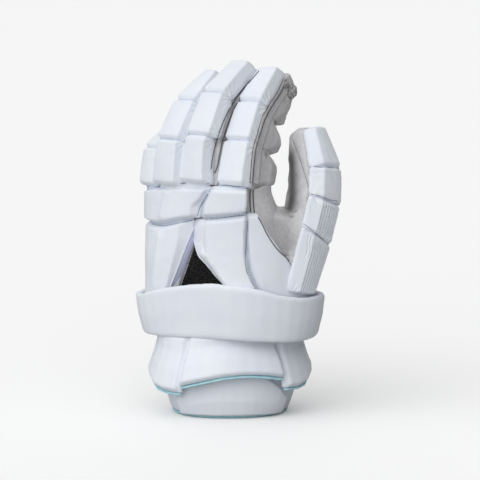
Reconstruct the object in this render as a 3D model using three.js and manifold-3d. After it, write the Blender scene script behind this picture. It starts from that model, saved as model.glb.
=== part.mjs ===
import * as THREE from 'three';
import { mergeVertices } from 'three/addons/utils/BufferGeometryUtils.js';
import Module from 'manifold-3d';

// A left-hand lacrosse glove that stands on the rim of its inner cuff.
// Millimetres, +Z up, back of the hand towards -Y, thumb towards +X, palm towards +Y.

const wasm = await Module();
wasm.setup();

// Clearances and walls
const seatGap = 0.3;
const layGap = 0.8;
const leatherWall = 2.6;

// Wrist: the inner cuff, the flared flaps round it and the strap over their top
const cuffRimWidth = 103;
const cuffRimDepth = 82;
const cuffHeight = 96;
const cuffWall = 5;
const cuffSwell = 9;
const cuffTurn = 38;
const edgingHeight = 2.6;
const edgingProud = 0.8;
const frontPanelThick = 3.4;
const frontPanelRise = 45;
const frontPanelHalfAngle = 56;
const flapTopHeight = 97;
const flapThick = 8;
const flapProud = 4;
const flapFlare = 9;
const flapLowest = 25;
const flapArch = 22;
const flapHang = 10;
const strapWidth = 178;
const strapDepth = 116;
const strapThick = 6;
const strapBottom = 72;
const strapTop = 112;
const strapHump = 15;
const strapTaper = 7;
const strapTurn = 18;

// Hand: from inside the strap up to the knuckles
const handBottom = 98;
const handTop = 214;
const handDepth = 54;
const handSetback = 9;
const handShift = -10;
const backPadThick = 11;
const knucklePadThick = 13;
const sidePanelThick = 7;
const ventMeshThick = 2;
const padBevel = 3;
const ventBevel = 6;
const padHem = 3;
const ventMeshLift = 6;
const knuckleDrop = 39;
const knuckleTuck = 5.5;
const seamHalfAngle = 0.7;

// Fingers and thumb
const middleAcross = 5;
const fingerWidth = 33;
const fingerLength = 42;
const fingerPadThick = 14;
const stallDepth = 29;
const stallWidth = 27;
const stallRim = 2.5;
const tipReach = 13;
const creaseWidth = 1.2;
const creaseDepth = 3;
const creaseSlope = 2.7;
const fingerBevel = 3;
const fingerSetback = 33;
const knuckleLead = 2;
const thumbAcross = 81.5;
const thumbForward = 6;
const thumbLift = 1.5;
const thumbTurn = 80;
const thumbLength = 162.5;
const thumbWidth = 37;
const thumbPadThick = 12.5;
const thumbStallWidth = 32;
const thumbStallDepth = 35;
const thumbTipReach = 6;
const ribDepth = 1.4;
const ribCount = 6;
const padCrown = 0.7;

const colours = {
  white: { color: 0xe4e9f1, roughness: 0.55 },
  grey: { color: 0xa3a09f, roughness: 0.9 },
  mesh: { color: 0x121212, roughness: 0.8 },
  teal: { color: 0x8fcdd8, roughness: 0.7 },
};

const radians = THREE.MathUtils.degToRad;
const mix = THREE.MathUtils.lerp;

// Small shared tools

function material(key) {
  const look = colours[key];
  return new THREE.MeshStandardMaterial({ color: look.color, roughness: look.roughness, metalness: 0 });
}

const group = new THREE.Group();

function addPiece(name, geometry, key) {
  const mesh = new THREE.Mesh(geometry, material(key));
  mesh.name = name;
  group.add(mesh);
  return mesh;
}

function geometryFrom(points, faces) {
  const flat = [];
  for (const face of faces) {
    for (const index of face) {
      flat.push(points[index].x, points[index].y, points[index].z);
    }
  }
  const raw = new THREE.BufferGeometry();
  raw.setAttribute('position', new THREE.Float32BufferAttribute(flat, 3));
  const merged = mergeVertices(raw, 1e-4);
  return outward(merged);
}

function signedVolume(geometry) {
  const place = geometry.getAttribute('position');
  const index = geometry.getIndex();
  const a = new THREE.Vector3();
  const b = new THREE.Vector3();
  const c = new THREE.Vector3();
  let total = 0;
  for (let i = 0; i < index.count; i += 3) {
    a.fromBufferAttribute(place, index.getX(i));
    b.fromBufferAttribute(place, index.getX(i + 1));
    c.fromBufferAttribute(place, index.getX(i + 2));
    total += a.dot(b.cross(c));
  }
  return total / 6;
}

function outward(geometry) {
  if (signedVolume(geometry) > 0) {
    return geometry;
  }
  const index = geometry.getIndex();
  for (let i = 0; i < index.count; i += 3) {
    const kept = index.getX(i + 1);
    index.setX(i + 1, index.getX(i + 2));
    index.setX(i + 2, kept);
  }
  return geometry;
}

function solidFrom(geometry) {
  const vertProperties = new Float32Array(geometry.getAttribute('position').array);
  const triVerts = new Uint32Array(geometry.getIndex().array);
  return new wasm.Manifold(new wasm.Mesh({ numProp: 3, vertProperties, triVerts }));
}

function geometryOf(solid) {
  const mesh = solid.getMesh();
  const geometry = new THREE.BufferGeometry();
  geometry.setAttribute('position', new THREE.BufferAttribute(mesh.vertProperties, 3));
  geometry.setIndex(new THREE.BufferAttribute(mesh.triVerts, 1));
  return geometry;
}

// A row of a table read at a share between two of its rows
function readTable(table, column, at, value) {
  if (at <= table[0][column]) {
    return table[0][value];
  }
  for (let i = 1; i < table.length; i += 1) {
    const low = table[i - 1];
    const high = table[i];
    if (at <= high[column]) {
      return mix(low[value], high[value], (at - low[column]) / (high[column] - low[column]));
    }
  }
  return table[table.length - 1][value];
}

// A closed skin over rings of equal length, with a flat cap on each end
function loftClosed(rings) {
  const points = rings.flat();
  const count = rings[0].length;
  const faces = [];
  for (let r = 0; r + 1 < rings.length; r += 1) {
    for (let i = 0; i < count; i += 1) {
      const j = (i + 1) % count;
      const a = r * count + i;
      const b = r * count + j;
      faces.push([a, b, b + count], [a, b + count, a + count]);
    }
  }
  const last = (rings.length - 1) * count;
  const middleOf = (ring) => ring.reduce((sum, p) => sum.add(p), new THREE.Vector3()).divideScalar(count);
  points.push(middleOf(rings[0]), middleOf(rings[rings.length - 1]));
  const bottomCentre = points.length - 2;
  const topCentre = points.length - 1;
  for (let i = 0; i < count; i += 1) {
    const j = (i + 1) % count;
    faces.push([bottomCentre, j, i], [topCentre, last + i, last + j]);
  }
  return geometryFrom(points, faces);
}

// A wall that goes right round: outer rings up, inner rings down, closed on itself
function loftRound(outerRings, innerRings) {
  const loop = [...outerRings, ...[...innerRings].reverse()];
  const count = loop[0].length;
  const points = loop.flat();
  const faces = [];
  for (let r = 0; r < loop.length; r += 1) {
    const next = (r + 1) % loop.length;
    for (let i = 0; i < count; i += 1) {
      const j = (i + 1) % count;
      faces.push([r * count + i, r * count + j, next * count + j]);
      faces.push([r * count + i, next * count + j, next * count + i]);
    }
  }
  return geometryFrom(points, faces);
}

// A point on a rounded section: angle 0 is the back of the hand, 90 the thumb side
function sectionPoint(section, angle, offset, z) {
  const power = 2 / section.square;
  const s = Math.sin(radians(angle));
  const c = Math.cos(radians(angle));
  const x = (section.halfWidth + offset) * Math.sign(s) * Math.abs(s) ** power;
  const y = -(section.halfDepth + offset) * Math.sign(c) * Math.abs(c) ** power;
  const turn = radians(section.turn);
  return new THREE.Vector3(
    section.x + x * Math.cos(turn) - y * Math.sin(turn),
    section.y + x * Math.sin(turn) + y * Math.cos(turn),
    z,
  );
}

// Sections of the hand, from the wrist (rise 0) to the knuckles (rise 1).
// reach is the way from the wrist's size to the knuckles' size.
const handRows = [
  { rise: 0.00, reach: 0.00, depthReach: 0.00, turnLeft: 1.00, square: 2.2 },
  { rise: 0.20, reach: 0.02, depthReach: 0.02, turnLeft: 0.94, square: 2.25 },
  { rise: 0.40, reach: 0.22, depthReach: 0.20, turnLeft: 0.72, square: 2.4 },
  { rise: 0.58, reach: 0.50, depthReach: 0.45, turnLeft: 0.48, square: 2.5 },
  { rise: 0.75, reach: 0.78, depthReach: 0.75, turnLeft: 0.25, square: 2.6 },
  { rise: 0.92, reach: 0.98, depthReach: 1.00, turnLeft: 0.05, square: 2.7 },
  { rise: 1.00, reach: 1.00, depthReach: 1.00, turnLeft: 0.00, square: 2.7 },
];

// Widths of the fingers set the width of the knuckles. step counts finger widths from the middle one,
// base and lengths are shares of a finger length, tilts and leans bend each length back and sideways.
const fingerRows = [
  { name: 'index', width: 1.00, step: 1.00, setback: 0.30, turn: -4, base: 0.095, depth: 1.00, tip: 0.76,
    lengths: [0.96, 0.96, 1.06], tilts: [16.5, 31, 50], leans: [-0.025, -0.05, -0.07] },
  { name: 'middle', width: 1.00, step: 0.00, setback: 0.00, turn: -7, base: 0.095, depth: 1.00, tip: 0.72,
    lengths: [1.02, 1.06, 1.16], tilts: [8.3, 30, 58], leans: [-0.012, -0.02, -0.02] },
  { name: 'ring', width: 0.96, step: -1.045, setback: 0.00, turn: -12, base: 0.0, depth: 0.96, tip: 0.56,
    lengths: [0.98, 1.02, 1.04], tilts: [8, 35, 55], leans: [-0.028, -0.055, -0.03] },
  { name: 'little', width: 0.78, step: -0.99, setback: 0.36, turn: -20, base: -0.12, depth: 0.80, tip: 0.76,
    lengths: [0.86, 0.56, 0.60], tilts: [10, 57, 82], leans: [-0.04, -0.02, -0.08] },
];

const knuckleHalfWidth = (fingerWidth * fingerRows.reduce((sum, row) => sum + row.width, 0)) / 2 - knuckleTuck;
const wristHalfWidth = strapWidth / 2 - strapThick - backPadThick - layGap;
const wristHalfDepth = (strapDepth - 2 * strapThick - backPadThick) / 2 - 2 * layGap;

function handSection(z) {
  const rise = (z - handBottom) / (handTop - handBottom);
  const reach = readTable(handRows, 'rise', rise, 'reach');
  const depthReach = readTable(handRows, 'rise', rise, 'depthReach');
  return {
    x: mix(0, handShift, reach),
    y: mix(backPadThick / 2, -handSetback, depthReach),
    halfWidth: mix(wristHalfWidth, knuckleHalfWidth, reach),
    halfDepth: mix(wristHalfDepth, handDepth / 2, depthReach),
    turn: strapTurn * readTable(handRows, 'rise', rise, 'turnLeft'),
    square: readTable(handRows, 'rise', rise, 'square'),
  };
}

const handPoint = (angle, z, offset) => sectionPoint(handSection(z), angle, offset, z);

function ringOf(pointAt, count) {
  const ring = [];
  for (let i = 0; i < count; i += 1) {
    ring.push(pointAt((360 * i) / count));
  }
  return ring;
}

// A finger or thumb is a chain of straight lengths. Its line runs along the outer face of its pads.
function chainOf(start, turn, lengths, tilts, leans, slants) {
  const side = new THREE.Vector3(Math.cos(radians(turn)), Math.sin(radians(turn)), 0);
  const forward = new THREE.Vector3(-side.y, side.x, 0);
  const joints = [start.clone()];
  const ways = [];
  for (let i = 0; i < lengths.length; i += 1) {
    const tilt = radians(tilts[i]);
    const way = new THREE.Vector3(0, 0, Math.cos(tilt)).addScaledVector(forward, Math.sin(tilt));
    way.addScaledVector(side, leans[i]).normalize();
    ways.push(way);
    joints.push(joints[i].clone().addScaledVector(way, lengths[i]));
  }
  return { side, joints, ways, lengths, slants: slants ?? new Array(lengths.length + 1).fill(0) };
}

// The place and frame on a chain at a length along it, mitred where two lengths meet
function chainFrame(chain, segment, along) {
  const way = chain.ways[segment];
  const across = chain.side.clone().addScaledVector(way, -chain.side.dot(way)).normalize();
  const out = across.clone().cross(way).normalize();
  const place = chain.joints[segment].clone().addScaledVector(way, along);
  return { place, way, across, out };
}

// The plane at a joint halves the bend there, and may slant across the finger
function jointNormal(chain, joint) {
  const before = chain.ways[Math.max(joint - 1, 0)];
  const after = chain.ways[Math.min(joint, chain.ways.length - 1)];
  return before.clone().add(after).normalize().addScaledVector(chain.side, chain.slants[joint]);
}

// A section point, a across and b outwards, on a plane that fans from one joint to the next
function chainPoint(chain, segment, along, a, b) {
  const frame = chainFrame(chain, segment, along);
  const share = THREE.MathUtils.clamp(along / chain.lengths[segment], 0, 1);
  const normal = jointNormal(chain, segment).lerp(jointNormal(chain, segment + 1), share);
  const beside = frame.across.multiplyScalar(a).addScaledVector(frame.out, b);
  const push = normal.dot(beside) / normal.dot(frame.way);
  return frame.place.add(beside).addScaledVector(frame.way, -push);
}

// The outline of a pad across the finger: a crowned or ribbed face, two bevels and two short sides
function padOutline(width, face, thick, side, drop, grooves) {
  const faceLine = [];
  const steps = grooves > 0 ? grooves * 2 + 2 : 3;
  for (let i = 0; i <= steps; i += 1) {
    const across = mix(-face / 2, face / 2, i / steps);
    const crown = padCrown * (2 * i / steps - 1) ** 2;
    const groove = grooves > 0 && i % 2 === 1 && i < steps ? ribDepth : 0;
    faceLine.push([across, -drop - crown - groove]);
  }
  return [
    [-width / 2, -thick],
    [-width / 2, -thick + side],
    ...faceLine,
    [width / 2, -thick + side],
    [width / 2, -thick],
  ];
}

function padOnChain(chain, segment, sizes) {
  const length = chain.lengths[segment];
  const inset = creaseWidth / 2;
  const stations = [
    { along: inset, drop: creaseDepth },
    { along: inset + creaseSlope, drop: 0 },
    { along: length / 2, drop: 0 },
    { along: length - inset - creaseSlope, drop: 0 },
    { along: length - inset, drop: creaseDepth },
  ];
  const rings = stations.map((station) => {
    const share = station.along / length;
    const width = mix(sizes.widthStart, sizes.widthEnd, share) - station.drop * 0.5;
    const face = mix(sizes.faceStart, sizes.faceEnd, share) - station.drop;
    const outline = padOutline(width, face, sizes.thick, sizes.side, station.drop, sizes.grooves ?? 0);
    return outline.map(([a, b]) => chainPoint(chain, segment, station.along, a, b));
  });
  return loftClosed(rings);
}

// The stall under the pads: depth swells between the joints and pinches at them.
// at counts joints (1.5 is halfway along the second length).
const stallRows = [
  { at: 0.00, depth: 1.45, width: 1.04 },
  { at: 0.40, depth: 1.72, width: 1.02 },
  { at: 0.75, depth: 1.48, width: 1.00 },
  { at: 1.00, depth: 1.08, width: 0.96 },
  { at: 1.30, depth: 1.44, width: 0.96 },
  { at: 1.65, depth: 1.38, width: 0.94 },
  { at: 2.00, depth: 0.94, width: 0.90 },
  { at: 2.35, depth: 1.34, width: 0.89 },
  { at: 2.75, depth: 1.20, width: 0.86 },
  { at: 3.00, depth: 1.06, width: 0.80 },
];
const stallFlat = 0.8;
const stallRound = 0.8;

function stallOutline(width, depth, inset) {
  const outline = [];
  const steps = 7;
  const half = width / 2 - inset;
  const low = depth - inset;
  outline.push([half * stallFlat, -inset], [-half * stallFlat, -inset]);
  for (let i = 0; i <= steps; i += 1) {
    const angle = Math.PI * (i / steps);
    const c = Math.cos(angle);
    const s = Math.sin(angle);
    const a = -half * Math.sign(c) * Math.abs(c) ** stallRound;
    const b = -inset - stallRim - (low - inset - stallRim) * Math.abs(s) ** stallRound;
    outline.push([a, b]);
  }
  return outline;
}

function stallRings(chain, sizes, inset) {
  const under = -(sizes.padThick + layGap);
  return sizes.rows.map((row) => {
    const segment = Math.min(Math.floor(row.at), chain.lengths.length - 1);
    const along = (row.at - segment) * chain.lengths[segment];
    const outline = stallOutline(sizes.width * row.width, sizes.depth * row.depth, inset);
    return outline.map(([a, b]) => chainPoint(chain, segment, along, a, b + under));
  });
}

// The rounded end of a stall past its last row: shares of its reach, and how far its ends draw in
const tipSteps = [0.45, 0.8, 1];
const tipClose = 0.92;
const tipMiddle = 0.55;

function stallTip(chain, sizes, inset) {
  const segment = chain.lengths.length - 1;
  const row = sizes.rows[sizes.rows.length - 1];
  const outline = stallOutline(sizes.width * row.width, sizes.depth * row.depth, inset);
  const reach = sizes.reach - inset;
  const under = -(sizes.padThick + layGap);
  const middle = under - sizes.depth * row.depth * tipMiddle;
  return tipSteps.map((step) => {
    const shrink = Math.sqrt(1 - step * step * tipClose);
    const along = chain.lengths[segment] + reach * step;
    return outline.map(([a, b]) => chainPoint(chain, segment, along, a * shrink, mix(middle, b + under, shrink)));
  });
}

// The ring where a stall stands on a level plane
function levelRing(chain, ring, level) {
  const way = chain.ways[0];
  return ring.map((point) => point.clone().addScaledVector(way, (level - point.z) / way.z));
}

function stallSolid(chain, sizes, level, inset) {
  const rings = [...stallRings(chain, sizes, inset), ...stallTip(chain, sizes, inset)];
  const started = rings.filter((ring) => Math.min(...ring.map((point) => point.z)) > level + stallRim);
  return solidFrom(loftClosed([levelRing(chain, rings[0], level), ...started]));
}

// A pad that lies on a curved wall, between a left and a right edge and a low and a high edge.
// edges holds four functions; bevels holds the width of the slope at each side.
const rimShare = 0.45;

function padOnWall(pointAt, edges, thick, bevels, inner = layGap) {
  const widthAt = (q) => {
    const z = mix(edges.low(0.5), edges.high(0.5), q);
    return pointAt(edges.left(q), z, thick).distanceTo(pointAt(edges.right(q), z, thick));
  };
  const height = edges.high(0.5) - edges.low(0.5);
  const columns = spread(bevels.left / widthAt(0.5), 1 - bevels.right / widthAt(0.5), bevels.columns);
  const rows = spread(bevels.low / height, 1 - bevels.high / height, bevels.rows);
  const points = [];
  const indexAt = new Map();
  const rims = { left: rimShare, right: rimShare, low: rimShare, high: rimShare, ...bevels.rims };
  const add = (i, j, layer) => {
    const p = columns[i];
    const q = rows[j];
    const sides = [
      i === 0 ? rims.left : 1,
      i === columns.length - 1 ? rims.right : 1,
      j === 0 ? rims.low : 1,
      j === rows.length - 1 ? rims.high : 1,
    ];
    const outer = mix(inner, thick, Math.min(...sides));
    const z = mix(edges.low(p), edges.high(p), q);
    const angle = mix(edges.left(q), edges.right(q), p);
    indexAt.set(`${i} ${j} ${layer}`, points.length);
    points.push(pointAt(angle, z, layer === 0 ? inner : outer));
  };
  for (let layer = 0; layer < 2; layer += 1) {
    for (let i = 0; i < columns.length; i += 1) {
      for (let j = 0; j < rows.length; j += 1) {
        add(i, j, layer);
      }
    }
  }
  const faces = [];
  const get = (i, j, layer) => indexAt.get(`${i} ${j} ${layer}`);
  for (let i = 0; i + 1 < columns.length; i += 1) {
    for (let j = 0; j + 1 < rows.length; j += 1) {
      faces.push([get(i, j, 1), get(i + 1, j, 1), get(i + 1, j + 1, 1)]);
      faces.push([get(i, j, 1), get(i + 1, j + 1, 1), get(i, j + 1, 1)]);
      faces.push([get(i, j, 0), get(i + 1, j + 1, 0), get(i + 1, j, 0)]);
      faces.push([get(i, j, 0), get(i, j + 1, 0), get(i + 1, j + 1, 0)]);
    }
  }
  const lastColumn = columns.length - 1;
  const lastRow = rows.length - 1;
  for (let i = 0; i < lastColumn; i += 1) {
    faces.push([get(i, 0, 0), get(i + 1, 0, 0), get(i + 1, 0, 1)]);
    faces.push([get(i, 0, 0), get(i + 1, 0, 1), get(i, 0, 1)]);
    faces.push([get(i, lastRow, 0), get(i + 1, lastRow, 1), get(i + 1, lastRow, 0)]);
    faces.push([get(i, lastRow, 0), get(i, lastRow, 1), get(i + 1, lastRow, 1)]);
  }
  for (let j = 0; j < lastRow; j += 1) {
    faces.push([get(0, j, 0), get(0, j + 1, 1), get(0, j + 1, 0)]);
    faces.push([get(0, j, 0), get(0, j, 1), get(0, j + 1, 1)]);
    faces.push([get(lastColumn, j, 0), get(lastColumn, j + 1, 0), get(lastColumn, j + 1, 1)]);
    faces.push([get(lastColumn, j, 0), get(lastColumn, j + 1, 1), get(lastColumn, j, 1)]);
  }
  return geometryFrom(points, faces);
}

// Shares 0, low, steps between low and high, high, 1
function spread(low, high, steps) {
  const shares = [0];
  for (let i = 0; i <= steps; i += 1) {
    shares.push(mix(low, high, i / steps));
  }
  shares.push(1);
  return shares;
}

// Strap: a wide band right round the wrist, with a hump over the back of the hand
const strapEdgeRows = [
  { angle: -180, high: -0.15, low: 0.0 },
  { angle: -90, high: -0.25, low: 0.0 },
  { angle: -60, high: -0.15, low: 0.0 },
  { angle: -32, high: 0.50, low: 0.1 },
  { angle: -3, high: 1.00, low: 0.25 },
  { angle: 24, high: 0.75, low: 0.1 },
  { angle: 45, high: 0.20, low: 0.0 },
  { angle: 68, high: 0.00, low: 0.0 },
  { angle: 180, high: -0.15, low: 0.0 },
];
const strapProfile = [
  { rise: 0.00, outset: -0.37 },
  { rise: 0.06, outset: -0.10 },
  { rise: 0.50, outset: 0.00 },
  { rise: 0.94, outset: -0.03 },
  { rise: 1.00, outset: -0.27 },
];
const strapCurl = 1.5;
const strapTaperDeep = 0.4;
const strapAround = 36;

function strapPoint(angle, rise, outset) {
  const turned = angle > 180 ? angle - 360 : angle;
  const top = strapTop + strapHump * readTable(strapEdgeRows, 'angle', turned, 'high');
  const bottom = strapBottom + strapHump * readTable(strapEdgeRows, 'angle', turned, 'low');
  const taper = strapTaper * (1 - rise) ** strapCurl;
  const section = {
    x: 0,
    y: 0,
    halfWidth: strapWidth / 2 - taper,
    halfDepth: strapDepth / 2 - taper * strapTaperDeep,
    turn: strapTurn,
    square: 2.2,
  };
  return sectionPoint(section, turned, outset, mix(bottom, top, rise));
}

// The strap's solid, or with a clearance the room that others leave it
function strapLoft(clear) {
  const ring = (row, outset) => {
    const lift = row.rise === 0 ? -clear : row.rise === 1 ? clear : 0;
    return ringOf((angle) => strapPoint(angle, row.rise, outset).add(new THREE.Vector3(0, 0, lift)), strapAround);
  };
  return loftRound(
    strapProfile.map((row) => ring(row, row.outset * strapThick + clear)),
    strapProfile.map((row) => ring(row, -strapThick - clear)),
  );
}

const strapRoom = solidFrom(strapLoft(seatGap));
const clearOfStrap = (geometry) => geometryOf(solidFrom(geometry).subtract(strapRoom));
addPiece('wrist_strap', strapLoft(0), 'white');

// Hand shell, with a bore for each stall
const around = 32;
const roofThick = leatherWall * 1.6;
const webAround = 12;
const handLevels = handRows.map((row) => mix(handBottom, handTop, row.rise));

function handLoft(offset, sink, lift) {
  return solidFrom(loftClosed(handLevels.map((z, i) => {
    const level = i === 0 ? z - sink : i === handLevels.length - 1 ? z + lift : z;
    return ringOf((angle) => handPoint(angle, level, offset), around);
  })));
}

// Thumb: its own chain, turned so that its back looks to the side
const thumbRows = [
  { length: 0.332, tilt: -13, lean: 0.161, slant: 0.00, width: 0.92 },
  { length: 0.216, tilt: -8, lean: 0.197, slant: 0.42, width: 1.05 },
  { length: 0.200, tilt: 7.5, lean: 0.154, slant: 0.18, width: 1.04 },
  { length: 0.252, tilt: 28, lean: 0.049, slant: 0.08, width: 0.96 },
];
const thumbTip = { slant: 0.0, width: 0.56 };
const thumbFace = 0.58;
const thumbPadSide = 0.25;
const thumbStart = new THREE.Vector3(thumbAcross, thumbForward, strapTop + thumbLift);
const thumbChain = chainOf(
  thumbStart,
  thumbTurn,
  thumbRows.map((row) => row.length * thumbLength),
  thumbRows.map((row) => row.tilt),
  thumbRows.map((row) => row.lean),
  [...thumbRows, thumbTip].map((row) => row.slant),
);
const thumbCore = { ...thumbChain, slants: thumbChain.slants.map(() => 0) };

// The web of leather between the palm and the thumb, as rings round the root of the thumb
const webRows = [
  { at: 0.10, wide: 0.70, deep: 0.80 },
  { at: 0.60, wide: 0.66, deep: 0.80 },
  { at: 1.10, wide: 0.58, deep: 0.72 },
  { at: 1.45, wide: 0.46, deep: 0.56 },
  { at: 1.62, wide: 0.26, deep: 0.30 },
];

function webLoft(offset) {
  return solidFrom(loftClosed(webRows.map((row, i) => {
    const segment = Math.floor(row.at);
    const lift = i === webRows.length - 1 ? offset : 0;
    const along = (row.at - segment) * thumbChain.lengths[segment] + lift;
    const middle = -(thumbPadThick + thumbStallDepth);
    return ringOf((angle) => {
      const a = (row.wide * thumbStallDepth + offset) * Math.sin(radians(angle));
      const b = middle + (row.deep * thumbStallDepth + offset) * Math.cos(radians(angle));
      return chainPoint(thumbCore, segment, along, a, b);
    }, webAround);
  })));
}

const handRoom = handLoft(seatGap, 0, seatGap).add(webLoft(seatGap));
const handHollow = handLoft(-leatherWall, leatherWall, -roofThick).add(webLoft(-leatherWall));
const boreRoom = handLoft(-leatherWall, leatherWall, roofThick);
let handShell = handLoft(0, 0, 0).add(webLoft(0)).subtract(handHollow);

// Fingers: a grey stall and three pads on each
const knuckleFront = -handSetback - handDepth / 2 - fingerPadThick;
const middleX = handShift + middleAcross;
let ringX = 0;

function fingerChain(row) {
  const besideRing = row.name === 'little';
  const neighbour = besideRing ? fingerRows[2].width : fingerRows[1].width;
  const x = (besideRing ? ringX : middleX) + (row.step * fingerWidth * (row.width + neighbour)) / 2;
  ringX = row.name === 'ring' ? x : ringX;
  const y = knuckleFront - knuckleLead + row.setback * fingerSetback;
  const lengths = row.lengths.map((share) => share * fingerLength);
  const start = new THREE.Vector3(x, y, handTop + row.base * fingerLength);
  return chainOf(start, row.turn, lengths, row.tilts, row.leans);
}

const padTaper = [1, 0.96, 0.9];
const fingerPadSide = 0.35;

for (const row of fingerRows) {
  const chain = fingerChain(row);
  const sizes = {
    rows: stallRows,
    width: stallWidth * row.width,
    depth: stallDepth * row.depth,
    padThick: fingerPadThick,
    reach: tipReach,
  };
  const level = handTop + seatGap;
  const bore = stallSolid(chain, sizes, level - roofThick * 2, leatherWall);
  handShell = handShell.subtract(bore.intersect(boreRoom));
  addPiece(`stall_${row.name}`, geometryOf(stallSolid(chain, sizes, level, 0).subtract(bore)), 'grey');
  const widths = [...padTaper, row.tip].map((share) => share * fingerWidth * row.width);
  for (let i = 0; i < chain.lengths.length; i += 1) {
    const geometry = padOnChain(chain, i, {
      widthStart: widths[i],
      widthEnd: widths[i + 1],
      faceStart: widths[i] - 2 * fingerBevel,
      faceEnd: widths[i + 1] - 2 * fingerBevel,
      thick: fingerPadThick,
      side: fingerPadThick * fingerPadSide,
    });
    const cut = i === 0 ? geometryOf(solidFrom(geometry).subtract(handRoom)) : geometry;
    addPiece(`${row.name}_pad_${i + 1}`, cut, 'white');
  }
}

// Thumb: stall and pads
const thumbStallRows = [
  { at: 0.00, depth: 0.95, width: 0.92 },
  { at: 0.50, depth: 1.15, width: 1.02 },
  { at: 1.00, depth: 1.18, width: 1.05 },
  { at: 1.50, depth: 1.12, width: 1.02 },
  { at: 2.00, depth: 1.02, width: 1.00 },
  { at: 2.50, depth: 1.08, width: 0.98 },
  { at: 3.00, depth: 1.00, width: 0.95 },
  { at: 3.50, depth: 0.95, width: 0.86 },
  { at: 4.00, depth: 0.72, width: 0.66 },
];
const thumbSizes = {
  rows: thumbStallRows,
  width: thumbStallWidth,
  depth: thumbStallDepth,
  padThick: thumbPadThick,
  reach: thumbTipReach,
};

// Pads on the back of the hand, each between two seams. Angles go round the hand, 0 at the back.
// rise counts from the bottom of the hand (0) to the knuckles (1).
const seams = {
  hidden: [{ rise: 0, angle: -92 }, { rise: 1, angle: -92 }],
  ventOuter: [
    { rise: 0.03, angle: -37 },
    { rise: 0.21, angle: -26.5 },
    { rise: 0.51, angle: -8.5 },
    { rise: 0.66, angle: -2.6 },
    { rise: 1, angle: -2.6 },
  ],
  ventInner: [
    { rise: 0.03, angle: 11 },
    { rise: 0.26, angle: 3.0 },
    { rise: 0.45, angle: -3.0 },
    { rise: 0.63, angle: -1.2 },
    { rise: 0.70, angle: 0.5 },
  ],
  side: [
    { rise: 0.03, angle: 29.5 },
    { rise: 0.19, angle: 27 },
    { rise: 0.38, angle: 23.6 },
    { rise: 0.57, angle: 30.8 },
    { rise: 0.76, angle: 42.4 },
  ],
  crotch: [
    { rise: 0.03, angle: 89 },
    { rise: 0.13, angle: 84 },
    { rise: 0.29, angle: 73 },
    { rise: 0.43, angle: 65.5 },
    { rise: 0.60, angle: 59.5 },
    { rise: 0.77, angle: 57.5 },
  ],
  knuckleMiddle: [
    { rise: 0.74, angle: 0.9 },
    { rise: 0.83, angle: 2.8 },
    { rise: 1, angle: 13.2 },
  ],
  knuckleEnd: [
    { rise: 0.79, angle: 41 },
    { rise: 0.91, angle: 50 },
    { rise: 1, angle: 51 },
  ],
};
// Level edges, as drops below the knuckles in shares of the knuckle row's drop
const levels = {
  knuckleTop: [
    { angle: -92, drop: 0.29 },
    { angle: -60, drop: 0.25 },
    { angle: -36, drop: 0.17 },
    { angle: -10, drop: 0.08 },
    { angle: 14, drop: 0.02 },
    { angle: 51, drop: 0.03 },
  ],
  knuckleLow: [
    { angle: -92, drop: 0.95 },
    { angle: -48, drop: 1.00 },
    { angle: -29, drop: 0.98 },
    { angle: 1, drop: 0.76 },
    { angle: 41, drop: 0.59 },
  ],
};
const angleOn = (seam, z) => readTable(seams[seam], 'rise', (z - handBottom) / (handTop - handBottom), 'angle');
const levelOn = (level, angle) => handTop - knuckleDrop * readTable(levels[level], 'angle', angle, 'drop');

function backPad(name, leftSeam, rightSeam, lowAt, highAt, thick, bevels) {
  const zMiddle = (q, angle) => mix(lowAt(angle), highAt(angle), q);
  const leftGuess = angleOn(leftSeam, lowAt(0));
  const rightGuess = angleOn(rightSeam, lowAt(0));
  const left = (q) => angleOn(leftSeam, zMiddle(q, leftGuess)) + seamHalfAngle;
  const right = (q) => angleOn(rightSeam, zMiddle(q, rightGuess)) - seamHalfAngle;
  const low = (p) => lowAt(mix(left(0), right(0), p));
  const high = (p) => highAt(mix(left(1), right(1), p));
  addPiece(name, clearOfStrap(padOnWall(handPoint, { left, right, low, high }, thick, bevels)), 'white');
  const roomRight = (q) => right(q) + 2 * seamHalfAngle;
  return padOnWall(handPoint, { left, right: roomRight, low, high }, thick + seatGap, bevels, 0);
}

const plainBevels = { left: padBevel, right: padBevel, low: padBevel, high: padBevel, columns: 8, rows: 3 };
const underStrap = () => handBottom + padHem;
const belowKnuckles = (angle) => levelOn('knuckleLow', angle) - creaseWidth * 1.5;

backPad(
  'knuckle_pad_outer', 'hidden', 'knuckleMiddle',
  (angle) => levelOn('knuckleLow', angle), (angle) => levelOn('knuckleTop', angle),
  knucklePadThick, { ...plainBevels, columns: 9 },
);
backPad(
  'knuckle_pad_inner', 'knuckleMiddle', 'knuckleEnd',
  (angle) => levelOn('knuckleLow', angle), (angle) => levelOn('knuckleTop', angle),
  knucklePadThick, { ...plainBevels, columns: 5 },
);
backPad(
  'back_pad_outer', 'hidden', 'ventOuter', underStrap, belowKnuckles,
  backPadThick, { ...plainBevels, right: ventBevel, rims: { right: 0.15 }, rows: 5 },
);
backPad(
  'back_pad_inner', 'ventInner', 'side', underStrap, belowKnuckles,
  backPadThick, { ...plainBevels, columns: 4, rows: 5 },
);
const sideRoom = solidFrom(backPad(
  'side_panel', 'side', 'crotch', underStrap, belowKnuckles,
  sidePanelThick, { ...plainBevels, columns: 6, rows: 5, rims: { right: 0.25 } },
));

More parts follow.
